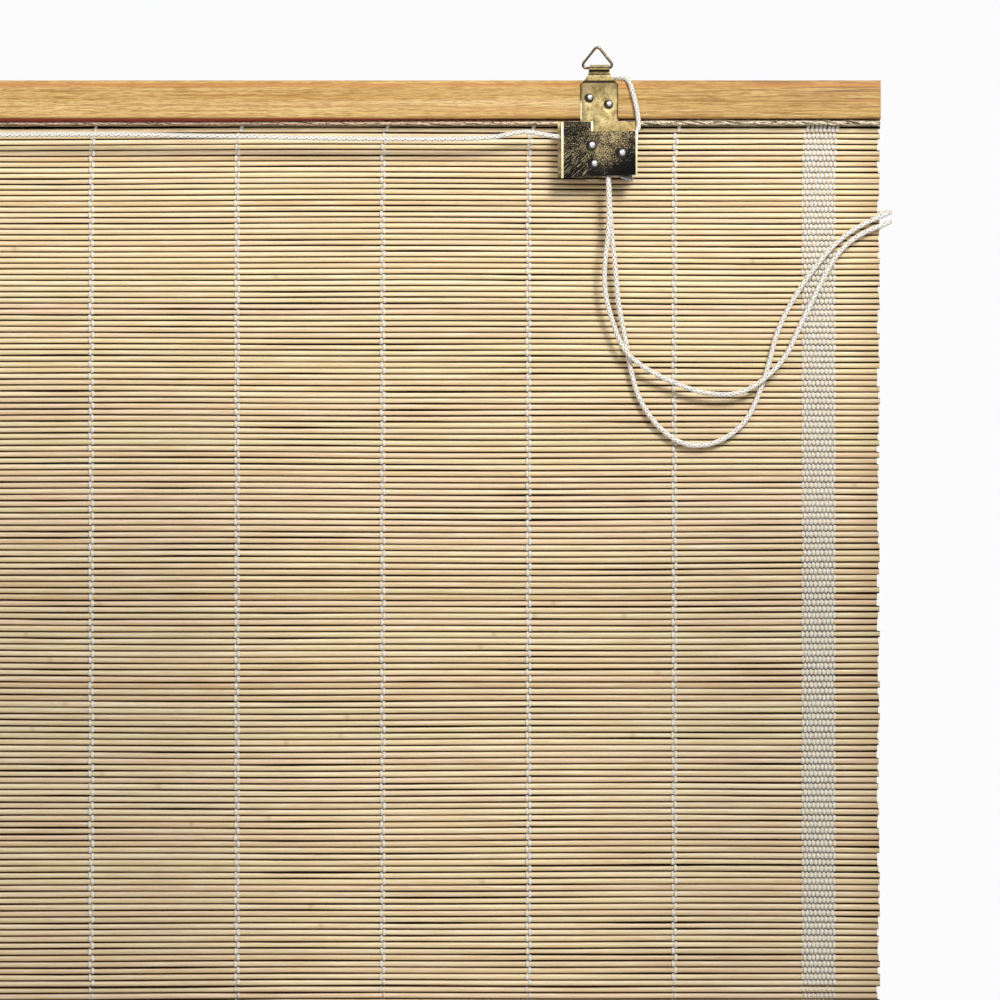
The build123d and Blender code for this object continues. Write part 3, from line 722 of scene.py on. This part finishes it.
# The pull cords' routes, in millimetres, from the lock down the mat's front, up to its right edge, round it
# and down close behind.
RIGHT_PULL_ROUTE = [
    (173.0, -3.6, -60.2), (173.4, -3.4, -72.0), (173.2, -2.6, -86.0), (171.4, -1.4, -99.0),
    (171.2, -0.2, -113.0), (175.0, 0.6, -127.0), (180.5, 1.1, -141.0), (191.0, 1.6, -149.3),
    (205.0, 2.1, -156.0), (219.0, 2.4, -160.6), (233.0, 2.5, -161.0), (245.0, 2.6, -154.8),
    (256.0, 3.0, -143.5), (262.0, 3.7, -129.5), (268.5, 4.5, -116.5), (274.7, 5.1, -103.5),
    (281.5, 5.5, -93.0), (291.0, 5.6, -85.5), (304.4, 6.0, -80.5), (304.6, 14.3, -79.8),
    (297.0, 14.7, -84.0), (293.6, 14.6, -97.0), (294.0, 14.9, -124.0), (293.2, 14.7, -170.0),
    (293.9, 15.0, -222.0), (293.4, 14.7, -276.0), (294.0, 15.0, -332.0), (293.5, 15.2, -390.0),
    (293.8, 15.8, -446.0),
]
LEFT_PULL_ROUTE = [
    (173.3, -1.0, -60.2), (173.8, -0.6, -73.0), (174.8, 0.6, -88.0), (176.6, 2.0, -103.0),
    (177.6, 3.2, -118.0), (181.0, 4.2, -134.0), (183.4, 5.0, -149.0), (187.5, 5.5, -163.5),
    (196.5, 5.6, -176.5), (209.0, 5.6, -185.0), (224.0, 5.6, -183.8), (237.0, 5.6, -174.5),
    (243.6, 5.6, -160.5), (248.2, 5.6, -146.0), (251.6, 5.6, -131.5), (259.0, 5.6, -116.5),
    (268.5, 5.6, -102.5), (279.5, 5.6, -89.5), (291.0, 5.7, -81.5), (304.4, 6.0, -76.0),
    (304.6, 14.3, -75.3), (293.0, 14.7, -77.0), (286.6, 14.6, -89.0), (285.8, 14.8, -113.0),
    (286.4, 15.1, -157.0), (285.6, 14.7, -211.0), (286.3, 15.0, -267.0), (285.8, 14.7, -321.0),
    (286.2, 15.1, -374.0), (285.9, 15.8, -428.0),
]


KNOT_TURNS = 2.1
KNOT_POINTS = 90


def end_knot(name, node, route):
    """A small overhand knot: two turns of cord round the cord's end, and its short tail."""
    x, y, z = route[-1]
    turns = np.linspace(0, 2 * math.pi * KNOT_TURNS, KNOT_POINTS)
    drop = np.linspace(-0.3, -3.4, KNOT_POINTS)
    swell = 1.45 + 0.35 * np.sin(turns * 0.5)
    wound = np.stack([x + swell * np.cos(turns), y + swell * np.sin(turns), z + drop], 1) * MM
    tail = np.array([(x, y, z + 0.2), (x, y, z - 2.0), (x + 0.2, y, z - 4.2)]) * MM
    tubes = Tubes()
    braid(tubes, wound, KNOT_SIDES)
    braid(tubes, even(tail, TAIL_STEP), KNOT_SIDES)
    return tubes.make(name, CORD, node, "braided_cord")


def pull_cord(side, route):
    """A pull cord with the knot at its end."""
    knot = end_knot(f"{side}_pull_end_knot", f"{side}_pull_knot", route)
    curve = spline_points("route", route)
    piece, line = cord_piece(f"{side}_pull_braid", f"{side}_pull_cord", curve, CORD_STEP, CORD_SIDES)


pull_cord("right", RIGHT_PULL_ROUTE)
pull_cord("left", LEFT_PULL_ROUTE)


# ---------------------------------------------------------------- lift cords

lift_knots_high = limits("lift_cord_knots")[1]
KNOT_R = 1.75  # of the knots by which the lift cords end at the bottom rod
LIFT_X = 174.0  # how far each lift cord hangs from the blind's middle
LIFT_TOP_X = 174.3
LIFT_Y = lift_knots_high[1] - KNOT_R
LIFT_LOW_Z = lift_knots_high[2] - 0.3
LIFT_ANCHOR_Z = SQUASH_FROM_Z + 6  # where each lift cord's straight stretch behind the mat meets the braid that goes over the rail
OVER_RAIL_Z = rail_high[2] + CORD_D / 2 - 0.25
wheel = middle("lock_cord_wheel")
pulley = middle("pulley_cord_wheel")
WHEEL_WRAP_R = 4.4  # of the cord's line where it goes round a wheel
CORD_Y = wheel[1]
RUN_Z = wheel[2] + 4.2

# The left lift cord's way across the mat's front, from the pulley to the lock, as (x, z).
LEFT_RUN = [
    (-150.0, RUN_Z), (-118.0, -40.2), (-85.0, -39.8), (-52.0, -39.9), (-24.0, -40.5), (4.0, -40.8),
    (32.0, -41.5), (62.0, -41.9), (90.0, -42.0), (108.0, -41.9), (120.0, -41.2), (127.5, -39.6),
    (134.4, -38.3), (141.5, -39.8), (150.0, -41.0), (158.0, RUN_Z),
]


def over_rail(side):
    """From the mat's back over the rail and down its front."""
    behind = [(LIFT_TOP_X, LIFT_Y, LIFT_ANCHOR_Z), (174.4, LIFT_Y, -22), (174.6, LIFT_Y, -16.5)]
    above = [(174.9, LIFT_Y - 0.2, OVER_RAIL_Z + 0.1), (176.0, rail_back + 0.5, OVER_RAIL_Z),
             (178.4, rail_front + 2.0, OVER_RAIL_Z), (181.4, rail_front - 0.4, OVER_RAIL_Z + 0.3)]
    front = [(183.2, 0.25, -15.6), (184.6, 0.1, -20.5), (186.2, 0.0, -26.5), (187.0, -0.4, -32.0)]
    return [(side * x, y, z) for x, y, z in behind + above + front]


def arc(centre, start, end):
    """Points round a cord wheel, between two angles in degrees."""
    x, _, z = centre
    angles = np.radians(np.linspace(start, end, 4))
    return [(x + WHEEL_WRAP_R * math.cos(a), CORD_Y, z + WHEEL_WRAP_R * math.sin(a)) for a in angles]


def lift_cords():
    """Each lift cord's braid from the mat's top to the lock, and the straight one behind the mat."""
    right = over_rail(1)
    right += [(187.4, -1.1, -37.0), (184.0, -2.9, -41.2), (176.8, -3.6, -44.2), (172.8, -3.7, -51.3)]
    right += [RIGHT_PULL_ROUTE[0]]
    left = over_rail(-1)[:-1] + [(pulley[0] - 4.2, CORD_Y, -32.5)]
    left += arc(pulley, 180, 270)
    left += [(x, CORD_Y, z) for x, z in LEFT_RUN]
    left += arc(wheel, 90, 0)
    left += [(173.0, -1.3, -53.2), LEFT_PULL_ROUTE[0]]
    for side, name, route in ((1, "right", right), (-1, "left", left)):
        node, curve = f"{name}_lift_cord", spline_points("route", route)
        cord_piece(f"{name}_lift_braid", node, curve, CORD_STEP, CORD_SIDES)
        hanging = [(side * LIFT_X, LIFT_Y, LIFT_LOW_Z), (side * LIFT_TOP_X, LIFT_Y, LIFT_ANCHOR_Z)]
        straight = np.array(hanging) * MM
        back, _ = cord_piece(f"{name}_lift_braid_behind", node, straight, HIDDEN_STEP, HIDDEN_SIDES)
        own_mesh(back)


lift_cords()


# ---------------------------------------------------------------- sticks

node_sticks = {node: [z for (z,) in reversed(shell_centres(node, 2))] for node in STICK_NODES}
heights = np.array([z for node in STICK_NODES for z in node_sticks[node]])
CLOSE_ROWS = 145  # rows near enough to the fittings to be made finer
CLOSE_MESH = (34, 12)  # points along a stick and round it, in those rows
FAR_MESH = (14, 8)
STICK_DEPTH = 1.2  # from a stick's middle to its front
RAIL_GAP = 3.2  # a wider step between two rows is the gap behind the rail
TALLEST = 3.0  # stick, from seam to seam
END_STRAY = 1.6  # how much shorter than the mat is wide a stick's ends may be
GROWTH_RING_X = 290  # how far out the bamboo's own rings are
GROWTH_RING_CHANCES = (0.8, 0.17, 0.03)  # of none, one or two of them on a stick
GROWTH_RING_R = 1.1
SQUARENESS = 2.7  # of a split stick's section, where 2 is an ellipse
SEAM_FROM = 0.6  # of the way from a stick's middle to its edge, where the painted shade of its seam begins


def row_bend(x, row):
    """How far a row of sticks strays from level, shared with its neighbours so that they don't cross."""
    return 0.22 * np.sin(x / 83 + row / 23.0) + 0.16 * np.sin(x / 41 - row / 11.0 + 1.7)


def stick_grid(row, close):
    """One stick's points, and its seam, ring and under attributes."""
    z = heights[row]
    above = heights[row - 1] - z if row and heights[row - 1] - z < RAIL_GAP else z - heights[row + 1]
    below = z - heights[row + 1] if row + 1 < len(heights) else above
    above, below = min(above, TALLEST), min(below, TALLEST)
    steps, sides = CLOSE_MESH if close else FAR_MESH
    ends = BLIND_HALF - rng.uniform(0, END_STRAY, 2)
    x = np.linspace(-ends[0], ends[1], steps)
    rings = rng.uniform(-GROWTH_RING_X, GROWTH_RING_X, rng.choice([0, 1, 2], p=GROWTH_RING_CHANCES))
    if close and len(rings):
        x = np.sort(np.concatenate([x, *(rings + shift for shift in (-2.2, -0.9, 0.0, 0.9, 2.2))]))
    near_ring = np.zeros_like(x)
    for place in rings:
        near_ring = np.maximum(near_ring, np.exp(-(((x - place) / GROWTH_RING_R) ** 2)))
    t = np.arange(sides) * 2 * math.pi / sides
    power = 2 / SQUARENESS
    across_y = -np.sign(np.cos(t)) * np.abs(np.round(np.cos(t), 6)) ** power
    across_z = np.sign(np.sin(t)) * np.abs(np.round(np.sin(t), 6)) ** power
    wander = smooth_noise(x, 4, 55.0)
    depth = STICK_DEPTH * (1 + 0.1 * wander[0] + 0.07 * near_ring)
    half = np.where(across_z > 0, above / 2, below / 2) + 0.03
    shoulder = np.where(np.abs(across_y) > 0.25, 1.0, 0.0)
    loose = 1 + np.where(across_z > 0, wander[1][:, None], wander[2][:, None])
    # seam marks a stick's upper and lower edges for painted shade, deeper where two sticks part
    parted = np.clip((loose - 1.6) / 0.4, 0, 1)
    narrow = 1 - shoulder * (0.04 + 0.045 * loose + 0.1 * parted)
    seam = np.maximum(0, np.abs(across_z) - SEAM_FROM) * (1.5 + 0.5 * loose + 1.5 * parted)
    seam = np.where(shoulder > 0, seam, 1.0)
    grid = point_grid(x[:, None], MAT_Y + across_y * depth[:, None] + 0.12 * wander[3][:, None],
                      z + row_bend(x, row)[:, None] + across_z * half * narrow)
    # under marks each stick's lower side for painted shade
    return grid, seam, near_ring[:, None], np.clip(-across_z, 0, 1)


def sticks():
    """Every stick node's sticks, those behind the rail apart from those that hang below it."""
    row = 0
    for node in STICK_NODES:
        behind_rail, hanging = Tubes(), Tubes()
        for z in node_sticks[node]:
            grid, seam, ring, under = stick_grid(row, row < CLOSE_ROWS)
            kind = behind_rail if z > SQUASH_FROM_Z else hanging
            kind.add(grid, seam=seam, ring=ring, under=under, tone=rng.random(), tint=rng.random())
            row += 1
        for tubes, name in ((behind_rail, f"{node}_behind_rail"), (hanging, f"{node}_split")):
            if not tubes.points:
                continue
            piece = tubes.make(name, BAMBOO, node, "bamboo")
            if tubes is hanging:
                squash_mat(piece)


def squash_mat(piece):
    """Gives a piece of the mat its own copy of its mesh."""
    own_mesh(piece)


sticks()


# ---------------------------------------------------------------- warp threads and tapes

TOP_LEAN = 1.9  # mm that the yarns lean to the right at the mat's top
LEAN_REACH = 7.0
YARN_FLATNESS = 0.82


def weave(tubes, x, phase, first, last, per_stick, sides, radius, seam_side):
    """One yarn from row first to row last, over a stick and under the next."""
    rows = np.arange(first, last, 1 / per_stick)
    z = np.interp(rows, np.arange(len(heights)), heights)
    swing = np.cos(math.pi * (rows + phase))
    out = np.sign(swing) * np.abs(swing) ** 0.7
    y = MAT_Y - out * (STICK_DEPTH + 0.42 * radius)
    lean = TOP_LEAN * np.exp(-np.maximum(0, SQUASH_FROM_Z - z) / LEAN_REACH)
    sway = lean + 0.12 * np.sin(rows * 0.61 + x) + rng.normal(0, 0.05, len(rows))
    line = np.stack([x + sway, y, z + row_bend(x, rows)], 1)
    tangent = np.gradient(line, axis=0)
    tangent[:, 0] = 0
    tangent /= np.linalg.norm(tangent, axis=1)[:, None]
    side = np.array([[seam_side, 0, 0.0]])
    normal = np.cross(tangent, side)
    thick = radius * (0.78 + 0.24 * np.abs(swing)) * (1 + 0.08 * rng.normal(0, 1, len(rows)))
    ring = rings_across(side, YARN_FLATNESS * normal, around(sides))
    # valley marks where the yarn dips between two sticks, for painted shade there
    tubes.add(line[:, None] + thick[:, None, None] * ring, valley=1 - np.abs(swing)[:, None])


PAIR_SPREAD = 0.6  # half the distance between the two yarns of a pair
YARN_R = 0.84
SEEN_FROM_X = -100  # the camera sees hardly further to the left
PART_OVER = 0.45  # rows below the cut where one piece of a yarn ends and the next begins
BEHIND_ROWS = int((heights > SQUASH_FROM_Z).sum())


def thread(node, pairs, spread, radius, fine):
    """A warp node: its thread pairs at these places, in a piece behind the rail and pieces below it."""
    cuts = [0, BEHIND_ROWS, CLOSE_ROWS, len(heights) - 1]
    for part, (first, last) in enumerate(zip(cuts, cuts[1:])):
        tubes = Tubes()
        detailed = fine and part < 2
        per_stick = 4 if detailed else (3, 3, 2)[part]
        sides = (6 if len(pairs) == 1 else 5) if detailed else 3
        for x in pairs:
            for turn in (-1, 1):
                end = last + (PART_OVER if part < 2 else 0)
                start = first + (PART_OVER if part else 0)
                weave(tubes, x + turn * spread, (turn + 1) / 2, start, end, per_stick, sides, radius, -turn)
        piece = tubes.make(f"{node}_yarn_{part + 1}", YARN, node, "warp_yarn")
        if part:
            squash_mat(piece)


TAPE_PAIRS = 8
TAPE_PAIR_STEP = 1.96
TAPE_SPREAD = 0.49
TAPE_SHIFT = -0.7
TAPE_YARN_R = 0.82


def tape_pairs(node):
    """Where a tape's thread pairs lie along X."""
    centre = middle(node)[0] + TAPE_SHIFT
    return [centre + (i - (TAPE_PAIRS - 1) / 2) * TAPE_PAIR_STEP for i in range(TAPE_PAIRS)]


for node in THREADS:
    place = middle(node)[0]
    thread(node, [place], PAIR_SPREAD, YARN_R, place > SEEN_FROM_X)
for node in TAPES:
    thread(node, tape_pairs(node), TAPE_SPREAD, TAPE_YARN_R, middle(node)[0] > SEEN_FROM_X)


STRANDS = 10  # loose ones, which lie in front of the rest
STRAND_POINTS = 420
STRAND_SIDES = 6
STRAND_TWIST = 26.0  # mm for each turn of the loose strands round one another
WAVES = 14
LOCK_SIDE_X = 150  # the painted shadow line under the rail is at its narrowest from here on, and the loose strands spread beyond


def yarn_bundle():
    """Loose strands along the mat's top edge, just under the rail, red-brown strands painted as the rail's
    shadow, and near-black strands painted as shade in the gaps above and below them.
    """
    low, high = limits("top_yarn_bundle")
    x = np.linspace(low[0], high[0], STRAND_POINTS)
    angle = around(STRAND_SIDES)
    tubes = Tubes()
    waves = smooth_noise(x, WAVES, 9.0)
    right = np.clip((x - LOCK_SIDE_X) / 45, 0, 1)
    rail_shadow_width = np.clip((LOCK_SIDE_X - x) / 150, 0, 1)
    centre_y = rail_back - 1.5

    def strand(y, z, radius, part):
        """A strand along the rail, at a depth and height that may vary along it."""
        across_y = np.reshape(y, (-1, 1)) + radius * np.cos(angle)
        across_z = np.reshape(z, (-1, 1)) + radius * np.sin(angle)
        tubes.add(point_grid(x[:, None], across_y, across_z), part=part)

    for number in range(STRANDS):
        turn = 2 * math.pi * (number / STRANDS + x / STRAND_TWIST) + 1.2 * waves[number % WAVES]
        spread = (0.6 + 0.3 * right) * (1 + 0.3 * waves[(number + 5) % WAVES])
        middle_z = high[2] - 1.7 + 0.35 * right
        strand(centre_y + 1.9 * np.cos(turn), middle_z + spread * np.sin(turn), 0.4, 0.0)
    strand(MAT_Y, np.full_like(x, (low[2] + high[2]) / 2 + 0.25), 1.15, 0.0)
    gap_bottom = heights[BEHIND_ROWS] + 1.15
    # red-brown strands painted as the rail's shadow, hanging lower and showing wider towards the left
    strand(rail_front + 1.4, rail_low[2] + 0.6 - 1.3 * rail_shadow_width + 0.08 * waves[3], 0.75, 0.4)
    strand(rail_back - 1.0, np.full_like(x, rail_low[2] + 0.2), 0.75, 0.4)
    strand(MAT_Y - 1.0, low[2] - 0.4 + 0.1 * waves[0], 0.22, 0.6)
    # near-black strands painted as shade in the gaps above and below the loose strands
    for gap_z in (low[2] + 0.1, low[2] - 0.5, gap_bottom + 0.2):
        strand(MAT_Y + 0.2, np.full_like(x, gap_z), 0.6, 1.0)
    tubes.make("binding_strands", BINDING, "top_yarn_bundle", "warp_yarn")


yarn_bundle()


# ---------------------------------------------------------------- fittings

TONGUE_SHOWS = 0.5  # of the tongue's length
RING_X = middle("lock_ring")[0]
RING_SHIFT = 0.9
RING_WIDER = 1.04
SHARP_EDGE = math.radians(38)
SHADED_SHARP = math.radians(30)


def worn(node, material, width, body="root", shape=None):
    """A copy of a CAD piece with rounded edges, which carry an attribute for rubbed brightness and painted
    highlights.
    """
    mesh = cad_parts[node].data.copy()
    if shape:
        for vertex in mesh.vertices:
            shape(vertex.co)
    work = bmesh.new()
    work.from_mesh(mesh)
    bmesh.ops.remove_doubles(work, verts=work.verts, dist=0.002 * MM)
    bmesh.ops.dissolve_limit(work, angle_limit=math.radians(1), verts=work.verts, edges=work.edges)
    sharp = [e for e in work.edges if len(e.link_faces) == 2 and e.calc_face_angle(0) > SHARP_EDGE]
    done = bmesh.ops.bevel(work, geom=sharp, offset=width * MM, segments=2, profile=0.6, affect="EDGES",
                           clamp_overlap=True)
    wear_and_glint = work.loops.layers.float.new("wear_and_glint")
    for face in work.faces:
        face.smooth = True
    for face in done["faces"]:
        for loop in face.loops:
            loop[wear_and_glint] = 1.0
    bmesh.ops.triangulate(work, faces=[f for f in work.faces if len(f.verts) > 4])
    work.to_mesh(mesh)
    work.free()
    mesh.materials.clear()
    mesh.materials.append(material)
    mesh.set_sharp_from_angle(angle=SHADED_SHARP)
    piece = show(f"{node}_finished", mesh)
    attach(piece, body)
    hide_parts(node)


def short_tongue(point):
    """The plate's tongue shows less below the cover than its blank does."""
    edge = limits("lock_cover")[0][2] * MM
    if point.z < edge:
        point.z = edge + (point.z - edge) * TONGUE_SHOWS


def hang_askew(point):
    """A ring is a loose fit in its eye, and hangs a little to one side."""
    centre = math.copysign(RING_X * MM, point.x)
    point.x = centre + (point.x - centre) * RING_WIDER - RING_SHIFT * MM


def refinish(node, material):
    """Gives a CAD piece its material, and leaves its shape as it is."""
    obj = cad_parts[node]
    for place in obj.material_slots:
        place.link = "OBJECT"
        place.material = material


worn("head_rail", PINE, 0.35)
for fitting in FITTINGS:
    worn(f"{fitting}_hanger_plate", PLATE_BRASS[fitting], 0.14, shape=short_tongue)
    worn(f"{fitting}_cover", COVER_BRASS[fitting], 0.2)
    worn(f"{fitting}_ring", WIRE_BRASS, 0.05, body=f"{fitting}_ring", shape=hang_askew)
    refinish(f"{fitting}_rivets", RIVET_NICKEL[fitting])
    refinish(f"{fitting}_nails", NAIL_NICKEL[fitting])
    refinish(f"{fitting}_cord_wheel", WHEEL_BRASS)
refinish("lock_pinch_roller", WHEEL_BRASS)
worn("lock_pawl", DARK_STEEL, 0.15, body="pawl")
refinish("rail_staples", STAPLE_WIRE)


# ---------------------------------------------------------------- bottom rod and its knots

ROD_POINTS = 60
ROD_SIDES = 20
YARN_SIDES = 6
TAPE_WOUND = 16.5  # mm of the rod under a tape's winding
THREAD_WOUND = 3.0
HITCH_TURN_R = 0.75


def bottom_rod():
    """The bottom rod, and the sticks that fill the space between it and the mat's last stick."""
    x = np.linspace(-BLIND_HALF, BLIND_HALF, ROD_POINTS)
    angle = around(ROD_SIDES)
    wander = smooth_noise(x, 2, 60.0)
    radius = ROD_R * (0.97 + 0.03 * wander[0][:, None])
    tubes = Tubes()

    def lay(half_depth, z, half_height, **values):
        grid = point_grid(x[:, None], MAT_Y + half_depth * np.cos(angle), z + half_height * np.sin(angle))
        tubes.add(grid, ring=0.0, **values)

    lay(radius, ROD_Z, radius, seam=0.0, under=0.0, tone=0.4, tint=0.8)
    room = MAT_END_Z - ROD_Z - ROD_R
    count = int(room / (2 * HALF_STICK))
    # painted shade at the fill sticks' seams and undersides, as on the mat's sticks
    seam = np.maximum(0, np.abs(np.sin(angle)) - SEAM_FROM) * 1.6
    under = np.clip(-np.sin(angle), 0, 1)
    for number in range(count):
        z = ROD_Z + ROD_R + room * (number + 0.5) / count
        lay(STICK_DEPTH, z, room / count / 2, seam=seam, under=under, tone=0.2 + 0.5 * number, tint=0.3)
    tubes.make("bottom_rod_bamboo", BAMBOO, "bottom_rod", "bamboo", body="bottom")


def legs(tubes, pairs, spread):
    """The yarns' last stretches, from the last stick down to the rod, in front of both and behind."""
    z = np.linspace(LAST_STICK_Z - 0.4, ROD_Z + ROD_R - 0.4, 5)
    out = np.linspace(STICK_DEPTH + 0.65, 1.3, 5)
    angle = around(YARN_SIDES)
    for x in pairs:
        for side in (-1, 1):
            tubes.add(point_grid(x + side * spread + 0.6 * np.cos(angle),
                                 (MAT_Y + side * out)[:, None] + 0.5 * np.sin(angle), z[:, None]))


def wind(tubes, x, width):
    """Yarn wound round the rod, a turn for each millimetre of its width."""
    turns = max(3, int(width))
    angle = np.linspace(0, 2 * math.pi * turns, 14 * turns)
    line = np.stack([x - width / 2 + width * angle / angle[-1], MAT_Y + (ROD_R + 0.35) * np.cos(angle),
                     ROD_Z + (ROD_R + 0.35) * np.sin(angle)], 1)
    tubes.add(line[:, None] + 0.45 * rings_across(*frames(line), around(YARN_SIDES)))


def warp_ends():
    """The ends of the threads and tapes, wound round the rod."""
    tubes = Tubes()
    for node in THREADS:
        place = middle(node)[0]
        wind(tubes, place, THREAD_WOUND)
        legs(tubes, [place], PAIR_SPREAD)
    for node in TAPES:
        wind(tubes, middle(node)[0], TAPE_WOUND)
        legs(tubes, tape_pairs(node), TAPE_SPREAD)
    tubes.make("warp_ends_wound", YARN, "warp_end_loops", "warp_yarn", body="bottom")


def lift_hitches():
    """The lift cords' lower ends: a loop round the rod, and turns round the cord above it."""
    tubes = Tubes()
    turns = np.linspace(0, 2 * math.pi, 60)
    climb = np.linspace(0, 2 * math.pi * 3, 120)
    loop_r = ROD_R + 0.1 + CORD_D / 2
    for side in (-1, 1):
        x = side * LIFT_X
        loop = np.stack([np.full(60, x), MAT_Y + loop_r * np.cos(turns), ROD_Z + loop_r * np.sin(turns)], 1)
        braid(tubes, loop * MM, KNOT_SIDES)
        hitch = np.stack([x + HITCH_TURN_R * np.cos(climb), LIFT_Y + HITCH_TURN_R * np.sin(climb),
                          np.linspace(ROD_Z + 2.2, ROD_Z + 7.6, 120)], 1)
        braid(tubes, hitch * MM, KNOT_SIDES)
    tubes.make("lift_cord_hitches", CORD, "lift_cord_knots", "braided_cord", body="bottom")


bottom_rod()
warp_ends()
lift_hitches()


# ---------------------------------------------------------------- stage and light

FLOOR_Z = ROD_Z - 120
FLOOR_HALF = 4000
corners = [(x * FLOOR_HALF, y * FLOOR_HALF, FLOOR_Z) for x, y in ((-1, -1), (1, -1), (1, 1), (-1, 1))]
floor = add("floor", corners, [[0, 1, 2, 3]], plain_floor(), smooth=False)


def area_light(name, place, target, size, power):
    """A round white lamp at a place, in metres, that shines at its target."""
    data = bpy.data.lights.new(name, "AREA")
    data.shape = "DISK"
    data.size = size
    data.energy = power
    light = show(name, data)
    light.location = place
    light.rotation_euler = (Vector(target) - Vector(place)).to_track_quat("-Z", "Y").to_euler()


TARGET = (0.1, 0.0, -0.25)
area_light("key", (0.95, -2.1, 1.25), TARGET, 0.75, 67)
area_light("upper_left", (-0.35, -1.5, 0.6), (0.0, 0.0, -0.1), 1.2, 7)
area_light("low_fill", (0.3, -2.6, -1.9), (0.0, 0.0, -0.9), 1.8, 4)
area_light("back", (-0.8, 2.6, 0.6), (0.0, 0.0, -0.7), 1.8, 95)


def soft_room():
    """Dim white light from all round, and a nearly white backdrop where the camera sees it."""
    world = bpy.data.worlds.new("soft_room")
    bpy.context.scene.world = world
    world.use_nodes = True
    nodes, links = world.node_tree.nodes, world.node_tree.links
    light = nodes["Background"]
    light.inputs["Color"].default_value = (1.0, 1.0, 1.0, 1)
    light.inputs["Strength"].default_value = 0.22
    backdrop = nodes.new("ShaderNodeBackground")
    backdrop.inputs["Color"].default_value = (0.975, 0.975, 0.985, 1)
    backdrop.inputs["Strength"].default_value = 1.0
    split = nodes.new("ShaderNodeMixShader")
    rays = nodes.new("ShaderNodeLightPath")
    links.new(rays.outputs["Is Camera Ray"], split.inputs[0])
    links.new(light.outputs[0], split.inputs[1])
    links.new(backdrop.outputs[0], split.inputs[2])
    links.new(split.outputs[0], nodes["World Output"].inputs[0])


soft_room()
bpy.context.scene.view_settings.view_transform = "Standard"
